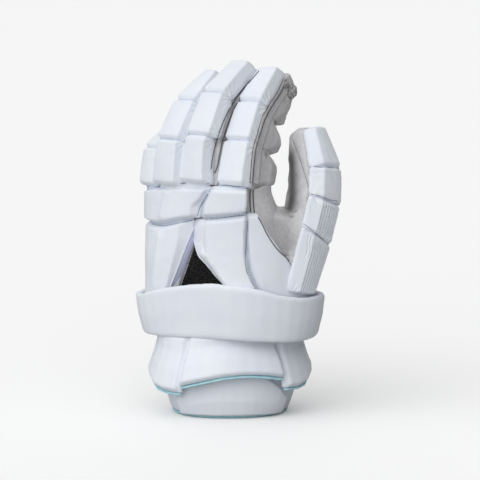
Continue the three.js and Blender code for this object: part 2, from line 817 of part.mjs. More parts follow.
// The knitted panel at the bottom of the vent, between the two back pads
const ventBottom = handBottom + ventMeshLift;
const ventTop = mix(handBottom, handTop, 0.53);
const ventEdge = { left: 0.5, right: 0.5, low: 0.5, high: 0.5, columns: 4, rows: 4 };
addPiece('vent_mesh', padOnWall(handPoint, {
  left: (q) => angleOn('ventOuter', mix(ventBottom, ventTop, q)) + seamHalfAngle,
  right: (q) => angleOn('ventInner', mix(ventBottom, ventTop, q)) - seamHalfAngle,
  low: () => ventBottom,
  high: () => ventTop,
}, layGap + ventMeshThick, ventEdge), 'mesh');

// The thumb's pads and stall are cut clear of the hand and of the side panel
const thumbBore = stallSolid(thumbCore, thumbSizes, thumbStart.z, leatherWall);
handShell = handShell.subtract(thumbBore);
const thumbStall = stallSolid(thumbCore, thumbSizes, thumbStart.z + leatherWall, 0)
  .subtract(thumbBore)
  .subtract(handRoom)
  .subtract(sideRoom);
addPiece('stall_thumb', geometryOf(thumbStall), 'grey');
for (let i = 0; i < thumbRows.length; i += 1) {
  const widthStart = thumbRows[i].width * thumbWidth;
  const widthEnd = (thumbRows[i + 1] ?? thumbTip).width * thumbWidth;
  const geometry = padOnChain(thumbChain, i, {
    widthStart,
    widthEnd,
    faceStart: widthStart * thumbFace,
    faceEnd: widthEnd * thumbFace,
    thick: thumbPadThick,
    side: thumbPadThick * thumbPadSide,
    grooves: i < 2 ? ribCount : 0,
  });
  const cut = i < 2 ? geometryOf(solidFrom(geometry).subtract(handRoom).subtract(sideRoom)) : geometry;
  addPiece(`thumb_pad_${i + 1}`, cut, 'white');
}
addPiece('palm_body', geometryOf(handShell), 'grey');

// Inner cuff: a padded tube that swells above its rim
const cuffRows = [
  { rise: 0.00, wide: 0.00, deep: 0.00 },
  { rise: 0.06, wide: 0.35, deep: 0.20 },
  { rise: 0.17, wide: 0.83, deep: 0.45 },
  { rise: 0.45, wide: 0.95, deep: 0.30 },
  { rise: 0.76, wide: 0.60, deep: -0.30 },
  { rise: 1.00, wide: 1.10, deep: -0.25 },
];

function cuffSection(z) {
  const rise = z / cuffHeight;
  return {
    x: 0,
    y: 0,
    halfWidth: cuffRimWidth / 2 + cuffSwell * readTable(cuffRows, 'rise', rise, 'wide'),
    halfDepth: cuffRimDepth / 2 + cuffSwell * readTable(cuffRows, 'rise', rise, 'deep'),
    turn: cuffTurn,
    square: 2.1,
  };
}

const cuffPoint = (angle, z, offset) => sectionPoint(cuffSection(z), angle, offset, z);
const cuffFoot = edgingHeight + seatGap;
const cuffLevels = cuffRows.map((row) => mix(cuffFoot, cuffHeight, row.rise));
const cuffAround = 32;
const cuffRing = (z, offset) => ringOf((angle) => cuffPoint(angle, z, offset), cuffAround);
addPiece('wrist_cuff', loftRound(
  cuffLevels.map((z) => cuffRing(z, 0)),
  cuffLevels.map((z) => cuffRing(z, -cuffWall)),
), 'white');

addPiece('cuff_edging', loftRound(
  [cuffRing(0, 0), cuffRing(edgingHeight * 0.5, edgingProud), cuffRing(edgingHeight, edgingProud)],
  [cuffRing(0, -cuffWall), cuffRing(edgingHeight * 0.5, -cuffWall), cuffRing(edgingHeight, -cuffWall)],
), 'teal');

// The front panel of the cuff is a lens: it rises from its ends to its middle
const panelEndRise = 0.3;
const panelBevels = { ...plainBevels, low: padBevel / 3, columns: 12, rims: { low: 0.3 } };
addPiece('cuff_front_panel', padOnWall(cuffPoint, {
  left: () => -frontPanelHalfAngle,
  right: () => frontPanelHalfAngle,
  low: () => cuffFoot,
  high: (p) => cuffFoot + frontPanelRise * mix(panelEndRise, 1, Math.sin(Math.PI * p)),
}, frontPanelThick, panelBevels), 'white');

// Flaps: they hang from inside the strap and flare away from the inner cuff
const flapFlareTop = strapBottom + padHem / 3;
const smooth = (share) => THREE.MathUtils.smoothstep(share, 0, 1);

function flapPoint(proud) {
  return (angle, z, offset) => {
    const below = smooth((flapFlareTop - z) / (flapFlareTop - flapLowest));
    const lift = proud * smooth((flapFlareTop - padHem - z) / flapHang);
    return cuffPoint(angle, z, offset + flapFlare * below + lift);
  };
}

// Lower edges of the flaps: lift is the share of the arch between the lowest and the highest point
const flapRows = {
  centre: [
    { angle: -38, lift: 0.32 },
    { angle: -20, lift: 0.59 },
    { angle: 0, lift: 0.84 },
    { angle: 20, lift: 0.81 },
    { angle: 38, lift: 0.64 },
  ],
  outer: [
    { angle: -152, lift: 1.00 },
    { angle: -110, lift: 0.82 },
    { angle: -85, lift: 0.55 },
    { angle: -64, lift: 0.05 },
    { angle: -39.5, lift: 0.00 },
  ],
  thumb: [
    { angle: 39.5, lift: 0.18 },
    { angle: 62, lift: 0.14 },
    { angle: 85, lift: 0.64 },
    { angle: 110, lift: 0.82 },
    { angle: 152, lift: 1.00 },
  ],
};
const flapTapers = {
  centre: { left: 4, right: 4 },
  outer: { left: 6, right: -4 },
  thumb: { left: -4, right: 6 },
};
const flapColumns = { centre: 7, outer: 9, thumb: 9 };
const edgingEndAngle = 1.5;
const edgingDepth = 0.7;
const edgingBevel = edgingHeight * 0.25;
const edgingEndBevel = edgingHeight * 0.4;

function flap(name, proud) {
  const rows = flapRows[name];
  const taper = flapTapers[name];
  const columns = flapColumns[name];
  const first = rows[0].angle;
  const last = rows[rows.length - 1].angle;
  const edges = {
    left: (q) => first + taper.left * q,
    right: (q) => last - taper.right * q,
    low: (p) => flapLowest + flapArch * readTable(rows, 'angle', mix(first, last, p), 'lift'),
    high: () => flapTopHeight,
  };
  const wall = flapPoint(proud);
  const bevels = { ...plainBevels, columns, rows: 4 };
  addPiece(`cuff_flap_${name}`, clearOfStrap(padOnWall(wall, edges, flapThick + layGap, bevels)), 'white');
  const edging = {
    ...edges,
    left: () => first + edgingEndAngle,
    right: () => last - edgingEndAngle,
    low: (p) => edges.low(p) - 2 * seatGap - edgingHeight,
    high: (p) => edges.low(p) - 2 * seatGap,
  };
  const thin = {
    left: edgingEndBevel,
    right: edgingEndBevel,
    low: edgingBevel,
    high: edgingBevel,
    columns,
    rows: 1,
  };
  addPiece(`flap_edging_${name}`, padOnWall(wall, edging, flapThick * edgingDepth, thin), 'teal');
}

flap('centre', flapProud);
flap('outer', 0);
flap('thumb', 0);

// The origin is on the floor, under the middle of the glove's box
const reach = new THREE.Box3().setFromObject(group);
const middle = reach.getCenter(new THREE.Vector3());
group.position.set(-middle.x, -middle.y, -reach.min.z);
const glove = new THREE.Group();
glove.add(group);

export default glove;
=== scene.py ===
import math

import bmesh
import bpy
import numpy as np
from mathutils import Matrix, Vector
from mathutils.bvhtree import BVHTree


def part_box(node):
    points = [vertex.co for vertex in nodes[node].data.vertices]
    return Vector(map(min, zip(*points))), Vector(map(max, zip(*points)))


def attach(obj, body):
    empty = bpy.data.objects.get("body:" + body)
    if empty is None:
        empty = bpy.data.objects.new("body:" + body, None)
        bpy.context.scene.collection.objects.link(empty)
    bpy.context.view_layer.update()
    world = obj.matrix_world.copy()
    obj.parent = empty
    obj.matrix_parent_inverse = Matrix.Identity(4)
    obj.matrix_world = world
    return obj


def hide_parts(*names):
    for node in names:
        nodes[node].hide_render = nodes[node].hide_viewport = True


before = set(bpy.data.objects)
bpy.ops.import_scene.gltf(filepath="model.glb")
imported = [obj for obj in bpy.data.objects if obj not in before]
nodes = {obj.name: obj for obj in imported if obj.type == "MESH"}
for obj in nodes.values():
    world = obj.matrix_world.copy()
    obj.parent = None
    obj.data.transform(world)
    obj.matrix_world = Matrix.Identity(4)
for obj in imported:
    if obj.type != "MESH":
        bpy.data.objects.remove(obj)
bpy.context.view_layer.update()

# A left-hand lacrosse glove: white padded leather, grey suede palm, black knitted vent, teal binding.
# Metres, +Z up, back of the hand towards -Y, thumb towards +X.

MM = 0.001
FINGERS = ("index", "middle", "ring", "little")

# Camera: the photograph's angle, through a long lens
AZIMUTH = 35
ELEVATION = 8
LENS = 250
SENSOR = 36
VIEW_WIDTH = 0.444
VIEW_RIGHT = 0.00925
VIEW_UP = 0.15725
IMAGE = 480

# Remesh sizes
PAD_VOXEL = 0.9 * MM
RIB_VOXEL = 0.6 * MM
TIP_VOXEL = 1.0 * MM
KNIT_VOXEL = 0.6 * MM
PANEL_VOXEL = 1.15 * MM
STALL_VOXEL = 1.4 * MM
SHELL_VOXEL = 1.9 * MM
CUFF_VOXEL = 1.8 * MM
BAND_VOXEL = 1.3 * MM
TRIM_VOXEL = 0.8 * MM
BED_VOXEL = 1.3 * MM
WEB_VOXEL = 1.4 * MM

# The share of their faces that the beds and the web keep
BED_SHARE = 0.32
WEB_SHARE = 0.2

# The knit's rows and loops
KNIT_ROW = 2.6 * MM
KNIT_LOOP = 2.4 * MM
KNIT_DEPTH = 0.35 * MM

# Lines and sheets laid on a surface: their steps in the picture's pixels, and the jump in depth left out
LINE_STEP = 0.8
SHEET_STEP = 1.0
LINE_JUMP = 1.3 * MM

# One round of smoothing, and the round back out that keeps the size
RELAX = 0.6
RELAX_BACK = -0.61


def cuff_axis():
    """The middle of the cuff's rim, which the photograph's view is measured from."""
    low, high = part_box("cuff_edging")
    return (low + high) / 2


def view_directions():
    a = math.radians(AZIMUTH)
    e = math.radians(ELEVATION)
    back = Vector((math.sin(a) * math.cos(e), -math.cos(a) * math.cos(e), math.sin(e)))
    right = Vector((math.cos(a), math.sin(a), 0))
    up = Vector((-math.sin(a) * math.sin(e), math.cos(a) * math.sin(e), math.cos(e)))
    return back, right, up


def view_places():
    """The point that the camera looks at, and where the camera is."""
    back, right, up = view_directions()
    axis = cuff_axis()
    target = Vector((axis.x, axis.y, 0)) + right * VIEW_RIGHT + up * VIEW_UP
    return target, target + back * (VIEW_WIDTH * LENS / SENSOR)


def make_camera():
    data = bpy.data.cameras.new("camera")
    data.lens = LENS
    data.sensor_width = SENSOR
    camera = bpy.data.objects.new("camera", data)
    bpy.context.scene.collection.objects.link(camera)
    target, place = view_places()
    camera.location = place
    camera.rotation_mode = "QUATERNION"
    camera.rotation_quaternion = (target - place).to_track_quat("-Z", "Y")
    bpy.context.scene.camera = camera


def sight(across, down):
    """The camera's place and the direction in which it sees that point of the picture."""
    back, right, up = view_directions()
    target, place = view_places()
    pixel = VIEW_WIDTH / IMAGE
    point = target + right * ((across - IMAGE / 2) * pixel) + up * ((IMAGE / 2 - down) * pixel)
    return place, (point - place).normalized()


# Studio: a soft sky, brightest to the left of the camera, bright above and weaker behind the glove

FLOOR_GLOW = 0.13
FLOOR_RETURN = 0.52
SKY_KEY = 2.22
KEY_POWER = 3.0
SKY_TOP = 0.80
TOP_POWER = 2.4
SKY_BEHIND = 0.75
BEHIND_POWER = 4.0


def sky_lobe(tree, place, direction, strength, power):
    dot = tree.nodes.new("ShaderNodeVectorMath")
    dot.operation = "DOT_PRODUCT"
    dot.inputs[1].default_value = direction
    tree.links.new(place, dot.inputs[0])
    lobe = tree.nodes.new("ShaderNodeMapRange")
    lobe.inputs["To Max"].default_value = 1
    tree.links.new(dot.outputs["Value"], lobe.inputs["Value"])
    shaped = tree.nodes.new("ShaderNodeMath")
    shaped.operation = "POWER"
    shaped.inputs[1].default_value = power
    tree.links.new(lobe.outputs["Result"], shaped.inputs[0])
    scaled = tree.nodes.new("ShaderNodeMath")
    scaled.operation = "MULTIPLY"
    scaled.inputs[1].default_value = strength
    tree.links.new(shaped.outputs[0], scaled.inputs[0])
    return scaled.outputs[0]


def make_studio():
    back, right, up = view_directions()
    world = bpy.data.worlds.new("studio")
    world.use_nodes = True
    tree = world.node_tree
    place = tree.nodes.new("ShaderNodeTexCoord").outputs["Generated"]
    key = (back * 0.80 - right * 0.46 + up * 0.31).normalized()
    total = tree.nodes.new("ShaderNodeMath")
    total.operation = "ADD"
    tree.links.new(sky_lobe(tree, place, key, SKY_KEY, KEY_POWER), total.inputs[0])
    tree.links.new(sky_lobe(tree, place, (0, 0, 1), SKY_TOP, TOP_POWER), total.inputs[1])
    behind = (up * 0.35 - back).normalized()
    base = tree.nodes.new("ShaderNodeMath")
    base.operation = "ADD"
    tree.links.new(sky_lobe(tree, place, behind, SKY_BEHIND, BEHIND_POWER), base.inputs[1])
    tree.links.new(total.outputs[0], base.inputs[0])
    shader = tree.nodes["Background"]
    shader.inputs["Color"].default_value = (0.985, 0.99, 1.0, 1)
    tree.links.new(base.outputs[0], shader.inputs["Strength"])
    bpy.context.scene.world = world
    bpy.context.scene.view_settings.view_transform = "Standard"


def floor_paper():
    """Pale paper that throws back less light than it shows, as a floor further from the glove would."""
    paper = plain_material("floor", (0.93, 0.93, 0.92), 0.9)
    tree = paper.node_tree
    pale = tree.nodes["Principled BSDF"]
    pale.inputs["Emission Color"].default_value = (1, 1, 0.99, 1)
    pale.inputs["Emission Strength"].default_value = FLOOR_GLOW
    dim = tree.nodes.new("ShaderNodeBsdfDiffuse")
    dim.inputs["Color"].default_value = (FLOOR_RETURN, FLOOR_RETURN, FLOOR_RETURN, 1)
    path = tree.nodes.new("ShaderNodeLightPath")
    mix = tree.nodes.new("ShaderNodeMixShader")
    tree.links.new(path.outputs["Is Camera Ray"], mix.inputs[0])
    tree.links.new(dim.outputs["BSDF"], mix.inputs[1])
    tree.links.new(pale.outputs["BSDF"], mix.inputs[2])
    tree.links.new(mix.outputs["Shader"], tree.nodes["Material Output"].inputs["Surface"])
    return paper


def make_floor():
    reach = 20
    mesh = bpy.data.meshes.new("floor")
    corners = [(-reach, -reach, 0), (reach, -reach, 0), (reach, reach, 0), (-reach, reach, 0)]
    mesh.from_pydata(corners, [], [(0, 1, 2, 3)])
    floor = bpy.data.objects.new("floor", mesh)
    bpy.context.scene.collection.objects.link(floor)
    floor.data.materials.append(floor_paper())


# Materials

def plain_material(name, colour, roughness):
    material = bpy.data.materials.new(name)
    material.use_nodes = True
    shader = material.node_tree.nodes["Principled BSDF"]
    shader.inputs["Base Color"].default_value = (*colour, 1)
    shader.inputs["Roughness"].default_value = roughness
    return material


class Look:
    """A procedural material, built node by node on the piece's own coordinates in metres."""

    def __init__(self, name, roughness):
        self.material = bpy.data.materials.new(name)
        self.material.use_nodes = True
        self.tree = self.material.node_tree
        self.shader = self.tree.nodes["Principled BSDF"]
        self.shader.inputs["Roughness"].default_value = roughness
        self.place = self.add("ShaderNodeTexCoord").outputs["Object"]

    def add(self, kind, **settings):
        node = self.tree.nodes.new(kind)
        for key, value in settings.items():
            setattr(node, key, value)
        return node

    def link(self, source, target):
        self.tree.links.new(source, target)

    def noise(self, size, detail=3, roughness=0.5):
        node = self.add("ShaderNodeTexNoise")
        self.link(self.place, node.inputs["Vector"])
        node.inputs["Scale"].default_value = 1 / size
        node.inputs["Detail"].default_value = detail
        node.inputs["Roughness"].default_value = roughness
        return node.outputs["Fac"]

    def cells(self, size, feature="F1"):
        node = self.add("ShaderNodeTexVoronoi", feature=feature)
        self.link(self.place, node.inputs["Vector"])
        node.inputs["Scale"].default_value = 1 / size
        return node.outputs["Distance"]

    def ramp(self, fac, stops):
        node = self.add("ShaderNodeValToRGB")
        self.link(fac, node.inputs["Fac"])
        band = node.color_ramp
        while len(band.elements) < len(stops):
            band.elements.new(0.5)
        for element, (at, colour) in zip(band.elements, stops):
            element.position = at
            element.color = (*colour, 1)
        return node.outputs["Color"]

    def spread(self, fac, low, high, to_low, to_high):
        node = self.add("ShaderNodeMapRange")
        self.link(fac, node.inputs["Value"])
        for key, value in zip(("From Min", "From Max", "To Min", "To Max"), (low, high, to_low, to_high)):
            node.inputs[key].default_value = value
        return node.outputs["Result"]

    def bump(self, height, depth, strength=1.0, before=None):
        node = self.add("ShaderNodeBump")
        node.inputs["Strength"].default_value = strength
        node.inputs["Distance"].default_value = depth
        self.link(height, node.inputs["Height"])
        if before is not None:
            self.link(before, node.inputs["Normal"])
        return node.outputs["Normal"]

    def shaded(self, colour):
        """The colour, darker towards near-black where the mesh's darkening layer says: painted shade in the
        hollows and creases, and uneven dark spots on the index tip's hood.
        """
        painted_shade_and_spots = self.add("ShaderNodeAttribute", attribute_name="painted_shade_and_spots")
        mix = self.add("ShaderNodeMix", data_type="RGBA", blend_type="MIX")
        self.link(painted_shade_and_spots.outputs["Fac"], mix.inputs["Factor"])
        self.link(colour, mix.inputs["A"])
        mix.inputs["B"].default_value = (0.05, 0.047, 0.046, 1)
        return mix.outputs["Result"]

    def finish(self, colour, normal, roughness=None):
        self.link(colour, self.shader.inputs["Base Color"])
        self.link(normal, self.shader.inputs["Normal"])
        if roughness is not None:
            self.link(roughness, self.shader.inputs["Roughness"])
        return self.material


def white_leather():
    look = Look("white_leather", 0.5)
    tone = look.noise(40 * MM, 2)
    colour = look.ramp(tone, [(0.3, (0.76, 0.80, 0.87)), (0.7, (0.81, 0.84, 0.89))])
    grain = look.cells(0.9 * MM)
    pores = look.noise(0.35 * MM, 2)
    normal = look.bump(grain, 0.05 * MM, 0.5)
    normal = look.bump(pores, 0.04 * MM, 0.4, normal)
    rough = look.spread(look.noise(6 * MM, 3), 0.3, 0.7, 0.44, 0.58)
    look.shader.inputs["Specular IOR Level"].default_value = 0.4
    return look.finish(colour, normal, rough)


def grey_suede():
    look = Look("grey_suede", 0.95)
    mottle = look.noise(3.5 * MM, 5, 0.65)
    tones = [(0.25, (0.52, 0.515, 0.52)), (0.5, (0.62, 0.61, 0.615)), (0.75, (0.70, 0.69, 0.695))]
    colour = look.shaded(look.ramp(mottle, tones))
    nap = look.noise(0.5 * MM, 4, 0.7)
    creases = look.noise(5 * MM, 3, 0.6)
    normal = look.bump(creases, 0.5 * MM, 0.5)
    normal = look.bump(nap, 0.18 * MM, 0.7, normal)
    look.shader.inputs["Sheen Weight"].default_value = 0.25
    look.shader.inputs["Sheen Roughness"].default_value = 0.5
    look.shader.inputs["Specular IOR Level"].default_value = 0.2
    return look.finish(colour, normal)


def black_mesh():
    look = Look("black_mesh", 0.8)
    holes = look.cells(1.7 * MM, "SMOOTH_F1")
    yarn = look.noise(1.3 * MM, 3, 0.7)
    colour = look.ramp(yarn, [(0.45, (0.001, 0.001, 0.001)), (0.66, (0.03, 0.03, 0.029))])
    normal = look.bump(holes, 0.8 * MM, 1.0)
    look.shader.inputs["Specular IOR Level"].default_value = 0.15
    return look.finish(colour, normal)


def shaded_leather_copy(name, size, detail, dark, pale):
    """White leather painted darker and lavender-blue: painted shade, as the leather looks deep in a crease or
    a recess.
    """
    look = Look(name, 0.6)
    colour = look.ramp(look.noise(size, detail), [(0.3, dark), (0.7, pale)])
    grain = look.cells(0.9 * MM)
    return look.finish(colour, look.bump(grain, 0.05 * MM, 0.5))


# Thread: the real dark stitching, and also the thin dark lines of painted shadow in the creases
def thread_and_shadow_line(name, roughness, size, dark, pale):
    look = Look(name, roughness)
    colour = look.ramp(look.noise(size), [(0.3, dark), (0.7, pale)])
    twist = look.noise(0.5 * MM, 2)
    return look.finish(colour, look.bump(twist, 0.1 * MM, 0.6))


def teal_binding():
    look = Look("teal_binding", 0.75)
    tone = look.noise(8 * MM, 2)
    colour = look.ramp(tone, [(0.3, (0.36, 0.66, 0.74)), (0.7, (0.52, 0.78, 0.83))])
    weave = look.cells(0.55 * MM)
    normal = look.bump(weave, 0.15 * MM, 0.8)
    return look.finish(colour, normal)


# Mesh tools

def new_object(name, mesh):
    piece = bpy.data.objects.new(name, mesh)
    bpy.context.scene.collection.objects.link(piece)
    return piece


def closed_piece(name, points, faces):
    """A new piece of those points and faces, which are turned to look outwards."""
    mesh = bpy.data.meshes.new(name)
    mesh.from_pydata([tuple(point) for point in points], [], faces)
    work = bmesh.new()
    work.from_mesh(mesh)
    bmesh.ops.recalc_face_normals(work, faces=work.faces)
    work.to_mesh(mesh)
    work.free()
    return new_object(name, mesh)


def modified(piece, kind, **settings):
    """The piece, with a modifier's result as its own mesh."""
    modifier = piece.modifiers.new(kind.lower(), kind)
    for key, value in settings.items():
        setattr(modifier, key, value)
    graph = bpy.context.evaluated_depsgraph_get()
    result = bpy.data.meshes.new_from_object(piece.evaluated_get(graph))
    piece.modifiers.clear()
    piece.data = result
    result.name = piece.name
    return piece


def remeshed(name, sources, voxel):
    """A new piece: the solids joined and covered with an even skin of small quads."""
    work = bmesh.new()
    for source in sources:
        work.from_mesh(nodes[source].data if isinstance(source, str) else source)
    bmesh.ops.remove_doubles(work, verts=work.verts, dist=1e-6)
    mesh = bpy.data.meshes.new(name)
    work.to_mesh(mesh)
    work.free()
    return modified(new_object(name, mesh), "REMESH", mode="VOXEL", voxel_size=voxel)


def points_of(piece, kind="co"):
    flat = np.empty(len(piece.data.vertices) * 3)
    piece.data.vertices.foreach_get(kind, flat)
    return flat.reshape(-1, 3)


def normals_of(piece):
    return points_of(piece, "normal")


def set_points(piece, points):
    piece.data.vertices.foreach_set("co", points.astype(np.float32).ravel())
    piece.data.update()


def edges_of(piece):
    flat = np.empty(len(piece.data.edges) * 2, dtype=np.int64)
    piece.data.edges.foreach_get("vertices", flat)
    return flat.reshape(-1, 2)


def smooth(piece, rounds, keep_size=True):
    """Rounds the skin's steps away. Each round back out keeps the piece its size."""
    edges = edges_of(piece)
    points = points_of(piece)
    count = len(points)
    links = np.bincount(edges.ravel(), minlength=count)[:, None]

    def relax(points, share):
        total = np.zeros_like(points)
        for axis in range(3):
            total[:, axis] = np.bincount(edges[:, 0], points[edges[:, 1], axis], count)
            total[:, axis] += np.bincount(edges[:, 1], points[edges[:, 0], axis], count)
        return points + share * (total / links - points)

    for _ in range(rounds):
        points = relax(points, RELAX)
        if keep_size:
            points = relax(points, RELAX_BACK)
    set_points(piece, points)


LATTICE_PRIMES = (73856093, 19349663, 83492791)


def soft_noise(points, size, seed):
    """Smooth seeded noise from -1 to 1 on a lattice of that size."""
    spot = points / size + seed * 17.31
    base = np.floor(spot).astype(np.int64)
    part = spot - base
    part = part * part * (3 - 2 * part)
    total = np.zeros(len(points))
    for dx in (0, 1):
        for dy in (0, 1):
            for dz in (0, 1):
                mixed = (base + (dx, dy, dz)) * LATTICE_PRIMES
                key = mixed[:, 0] ^ mixed[:, 1] ^ mixed[:, 2]
                value = ((key * 2654435761 + seed * 97) & 0xFFFFFF) / 0x7FFFFF - 1
                weight = np.where(dx, part[:, 0], 1 - part[:, 0])
                weight = weight * np.where(dy, part[:, 1], 1 - part[:, 1])
                weight = weight * np.where(dz, part[:, 2], 1 - part[:, 2])
                total += value * weight
    return total


def push(piece, heights):
    set_points(piece, points_of(piece) + normals_of(piece) * heights[:, None])


def grow(piece, height):
    push(piece, np.full(len(piece.data.vertices), height))


def uneven(piece, depth, size, seed):
    push(piece, depth * soft_noise(points_of(piece), size, seed))


def tree_of(pieces):
    """The pieces' surfaces as one tree that sight lines can meet."""
    points = []
    faces = []
    start = 0
    for piece in pieces:
        own = points_of(piece)
        points += own.tolist()
        faces += [[corner + start for corner in face.vertices] for face in piece.data.polygons]
        start += len(own)
    return BVHTree.FromPolygons(points, faces)


def smooth_line(corners, step):
    """Even steps along a smooth line through the corners."""
    knots = np.array(corners, dtype=float)
    run = np.vstack([2 * knots[0] - knots[1], knots, 2 * knots[-1] - knots[-2]])
    line = []
    for a, b, c, d in zip(run, run[1:], run[2:], run[3:]):
        count = max(2, int(np.linalg.norm(c - b) / step))
        for t in np.arange(count) / count:
            bend = (2 * a - 5 * b + 4 * c - d) * t ** 2 + (3 * b - a - 3 * c + d) * t ** 3
            line.append(0.5 * (2 * b + (c - a) * t + bend))
    line.append(knots[-1])
    return np.array(line)


def settle(values, rounds):
    """Evens a run of places out along its length, its two ends kept."""
    for _ in range(rounds):
        values[1:-1] = 0.5 * values[1:-1] + 0.25 * (values[:-2] + values[2:])
    return values


def evened(line, count):
    """The line as that many places at even shares of its run."""
    old = np.linspace(0, 1, len(line))
    marks = np.linspace(0, 1, count)
    return np.stack([np.interp(marks, old, line[:, axis]) for axis in range(line.shape[1])], axis=1)


def trace(corners, tree, rounds):
    """A line through points of the picture, laid on the surface that shows there, with its normals."""
    places = []
    normals = []
    for across, down in smooth_line(corners, LINE_STEP):
        place, normal, _, _ = tree.ray_cast(*sight(across, down))
        if place is not None:
            places.append(place)
            normals.append(normal)
    places = np.array(places)
    depth = places @ np.array(view_directions()[0])
    calm = np.array([np.median(depth[max(0, i - 6):i + 7]) for i in range(len(depth))])
    level = np.abs(depth - calm) < LINE_JUMP
    places = settle(places[level], rounds)
    normals = settle(np.array(normals)[level], rounds + 2)
    return places, normals / np.linalg.norm(normals, axis=1)[:, None]


def near_line(points, line):
    """Each point's distance to the line, and how far along the line its nearest place is."""
    best = np.full(len(points), np.inf)
    share = np.zeros(len(points))
    legs = len(line) - 1
    for i in range(legs):
        leg = line[i + 1] - line[i]
        along = np.clip((points - line[i]) @ leg / max(leg @ leg, 1e-12), 0, 1)
        gap = np.linalg.norm(points - line[i] - along[:, None] * leg, axis=1)
        closer = gap < best
        best[closer] = gap[closer]
        share[closer] = (i + along[closer]) / legs
    return best, share


def carve(piece, line, width, depth, fade):
    """A soft groove along the line, or a ridge where the depth is below zero, that fades out at its ends."""
    points = points_of(piece)
    gap, share = near_line(points, line)
    ends = np.clip(np.minimum(share, 1 - share) / max(fade, 1e-6), 0, 1)
    push(piece, -depth * np.exp(-(gap / width) ** 2) * ends)


def swell(piece, centre, radius, height):
    gap = np.linalg.norm(points_of(piece) - np.array(centre), axis=1)
    push(piece, height * np.exp(-(gap / radius) ** 2))


def tubes(name, lines, radius, sides=6):
    """Closed round tubes along the lines, all in one mesh. A line is its places and its normals."""
    points = []
    faces = []
    for places, normals in lines:
        ahead = np.gradient(places, axis=0)
        ahead /= np.linalg.norm(ahead, axis=1)[:, None]
        beside = np.cross(ahead, normals)
        beside /= np.linalg.norm(beside, axis=1)[:, None]
        above = np.cross(beside, ahead)
        first = len(points)
        for place, side, top in zip(places, beside, above):
            for k in range(sides):
                turn = 2 * math.pi * k / sides
                points.append(place + radius * (math.cos(turn) * side + math.sin(turn) * top))
        rings = len(places)
        for i in range(rings - 1):
            for k in range(sides):
                low = first + i * sides
                faces.append((low + k, low + (k + 1) % sides, low + sides + (k + 1) % sides, low + sides + k))
        faces.append(tuple(first + k for k in reversed(range(sides))))
        faces.append(tuple(first + (rings - 1) * sides + k for k in range(sides)))
    return closed_piece(name, points, faces)


def lifted(line, lift):
    places, normals = line
    return places + normals * lift, normals


def stitches(line, spacing, length, lift):
    """Short stitches along a traced line, each a small arch of three places."""
    places, normals = line
    steps = np.linalg.norm(np.diff(places, axis=0), axis=1)
    run = np.concatenate([[0], np.cumsum(steps)])

    def at(values, where):
        return np.array([np.interp(where, run, values[:, axis]) for axis in range(3)])

    rows = []
    for start in np.arange(spacing / 2, run[-1] - length, spacing):
        spots = [start, start + length / 2, start + length]
        normal = at(normals, spots[1])
        heights = (-0.2 * lift, lift, -0.2 * lift)
        row = np.array([at(places, spot) + normal * height for spot, height in zip(spots, heights)])
        rows.append((row, np.array([normal] * 3)))
    return rows


def sheet_on(name, left, right, tree, lift, thickness, columns, rounds, edge=None):
    """A thin closed patch on the surface between two lines of the picture. Edge is the lift of its rim."""
    left = smooth_line(left, SHEET_STEP)
    right = smooth_line(right, SHEET_STEP)
    rows = max(len(left), len(right))
    left = evened(left, rows)
    right = evened(right, rows)
    places = np.zeros((rows, columns, 3))
    normals = np.zeros((rows, columns, 3))
    for i in range(rows):
        for j in range(columns):
            across, down = left[i] + (right[i] - left[i]) * j / (columns - 1)
            place, normal, _, _ = tree.ray_cast(*sight(across, down))
            if place is None:
                before = (i, j - 1) if j else (i - 1, j)
                place = places[before]
                normal = normals[before]
            places[i, j] = place
            normals[i, j] = normal
    for _ in range(rounds):
        places[1:-1] = 0.5 * places[1:-1] + 0.25 * (places[:-2] + places[2:])
        places[:, 1:-1] = 0.5 * places[:, 1:-1] + 0.25 * (places[:, :-2] + places[:, 2:])
        normals[1:-1] = 0.5 * normals[1:-1] + 0.25 * (normals[:-2] + normals[2:])
        normals[:, 1:-1] = 0.5 * normals[:, 1:-1] + 0.25 * (normals[:, :-2] + normals[:, 2:])
    normals /= np.linalg.norm(normals, axis=2)[:, :, None]
    if edge is not None:
        rise = np.minimum.outer(np.minimum(np.arange(rows), np.arange(rows)[::-1]) / 5,
                                np.minimum(np.arange(columns), np.arange(columns)[::-1]) / 4)
        lift = (edge + (lift - edge) * np.clip(rise, 0, 1))[:, :, None]
    return slab(name, places + normals * lift, places + normals * (lift - thickness))


def slab(name, top, bottom):
    """A closed sheet between two grids of places."""
    rows, columns = top.shape[:2]
    points = np.concatenate([top.reshape(-1, 3), bottom.reshape(-1, 3)])
    half = rows * columns
    faces = []
    for i in range(rows - 1):
        for j in range(columns - 1):
            a = i * columns + j
            ring = (a, a + 1, a + columns + 1, a + columns)
            faces.append(ring)
            faces.append(tuple(half + corner for corner in reversed(ring)))
    edge = list(range(columns))
    edge += [i * columns + columns - 1 for i in range(1, rows)]
    edge += [(rows - 1) * columns + j for j in range(columns - 2, -1, -1)]
    edge += [i * columns for i in range(rows - 2, 0, -1)]
    for a, b in zip(edge, edge[1:] + edge[:1]):
        faces.append((a, a + half, b + half, b))
    return closed_piece(name, points, faces)


def bed_under(name, sources, bridge, sink, voxel=BED_VOXEL, share=BED_SHARE):
    """A soft bed under a group of pieces. It closes the gaps that are narrower than twice the bridge."""
    bed = remeshed(name, sources, voxel)
    grow(bed, bridge)
    modified(bed, "REMESH", mode="VOXEL", voxel_size=voxel)
    smooth(bed, 3)
    grow(bed, -(bridge + sink))
    smooth(bed, 3, False)
    return modified(bed, "DECIMATE", ratio=share)


def finish_piece(piece, material, stands_for=None):
    piece.data.materials.clear()
    piece.data.materials.append(material)
    for face in piece.data.polygons:
        face.use_smooth = True
    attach(piece, "root")
    if stands_for:
        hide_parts(*stands_for)
    return piece


# Frames of the finger pads: middle, outward direction and direction towards the tip

def unit(vector):
    return vector / np.linalg.norm(vector)


def solid_points(node):
    return points_of(nodes[node])


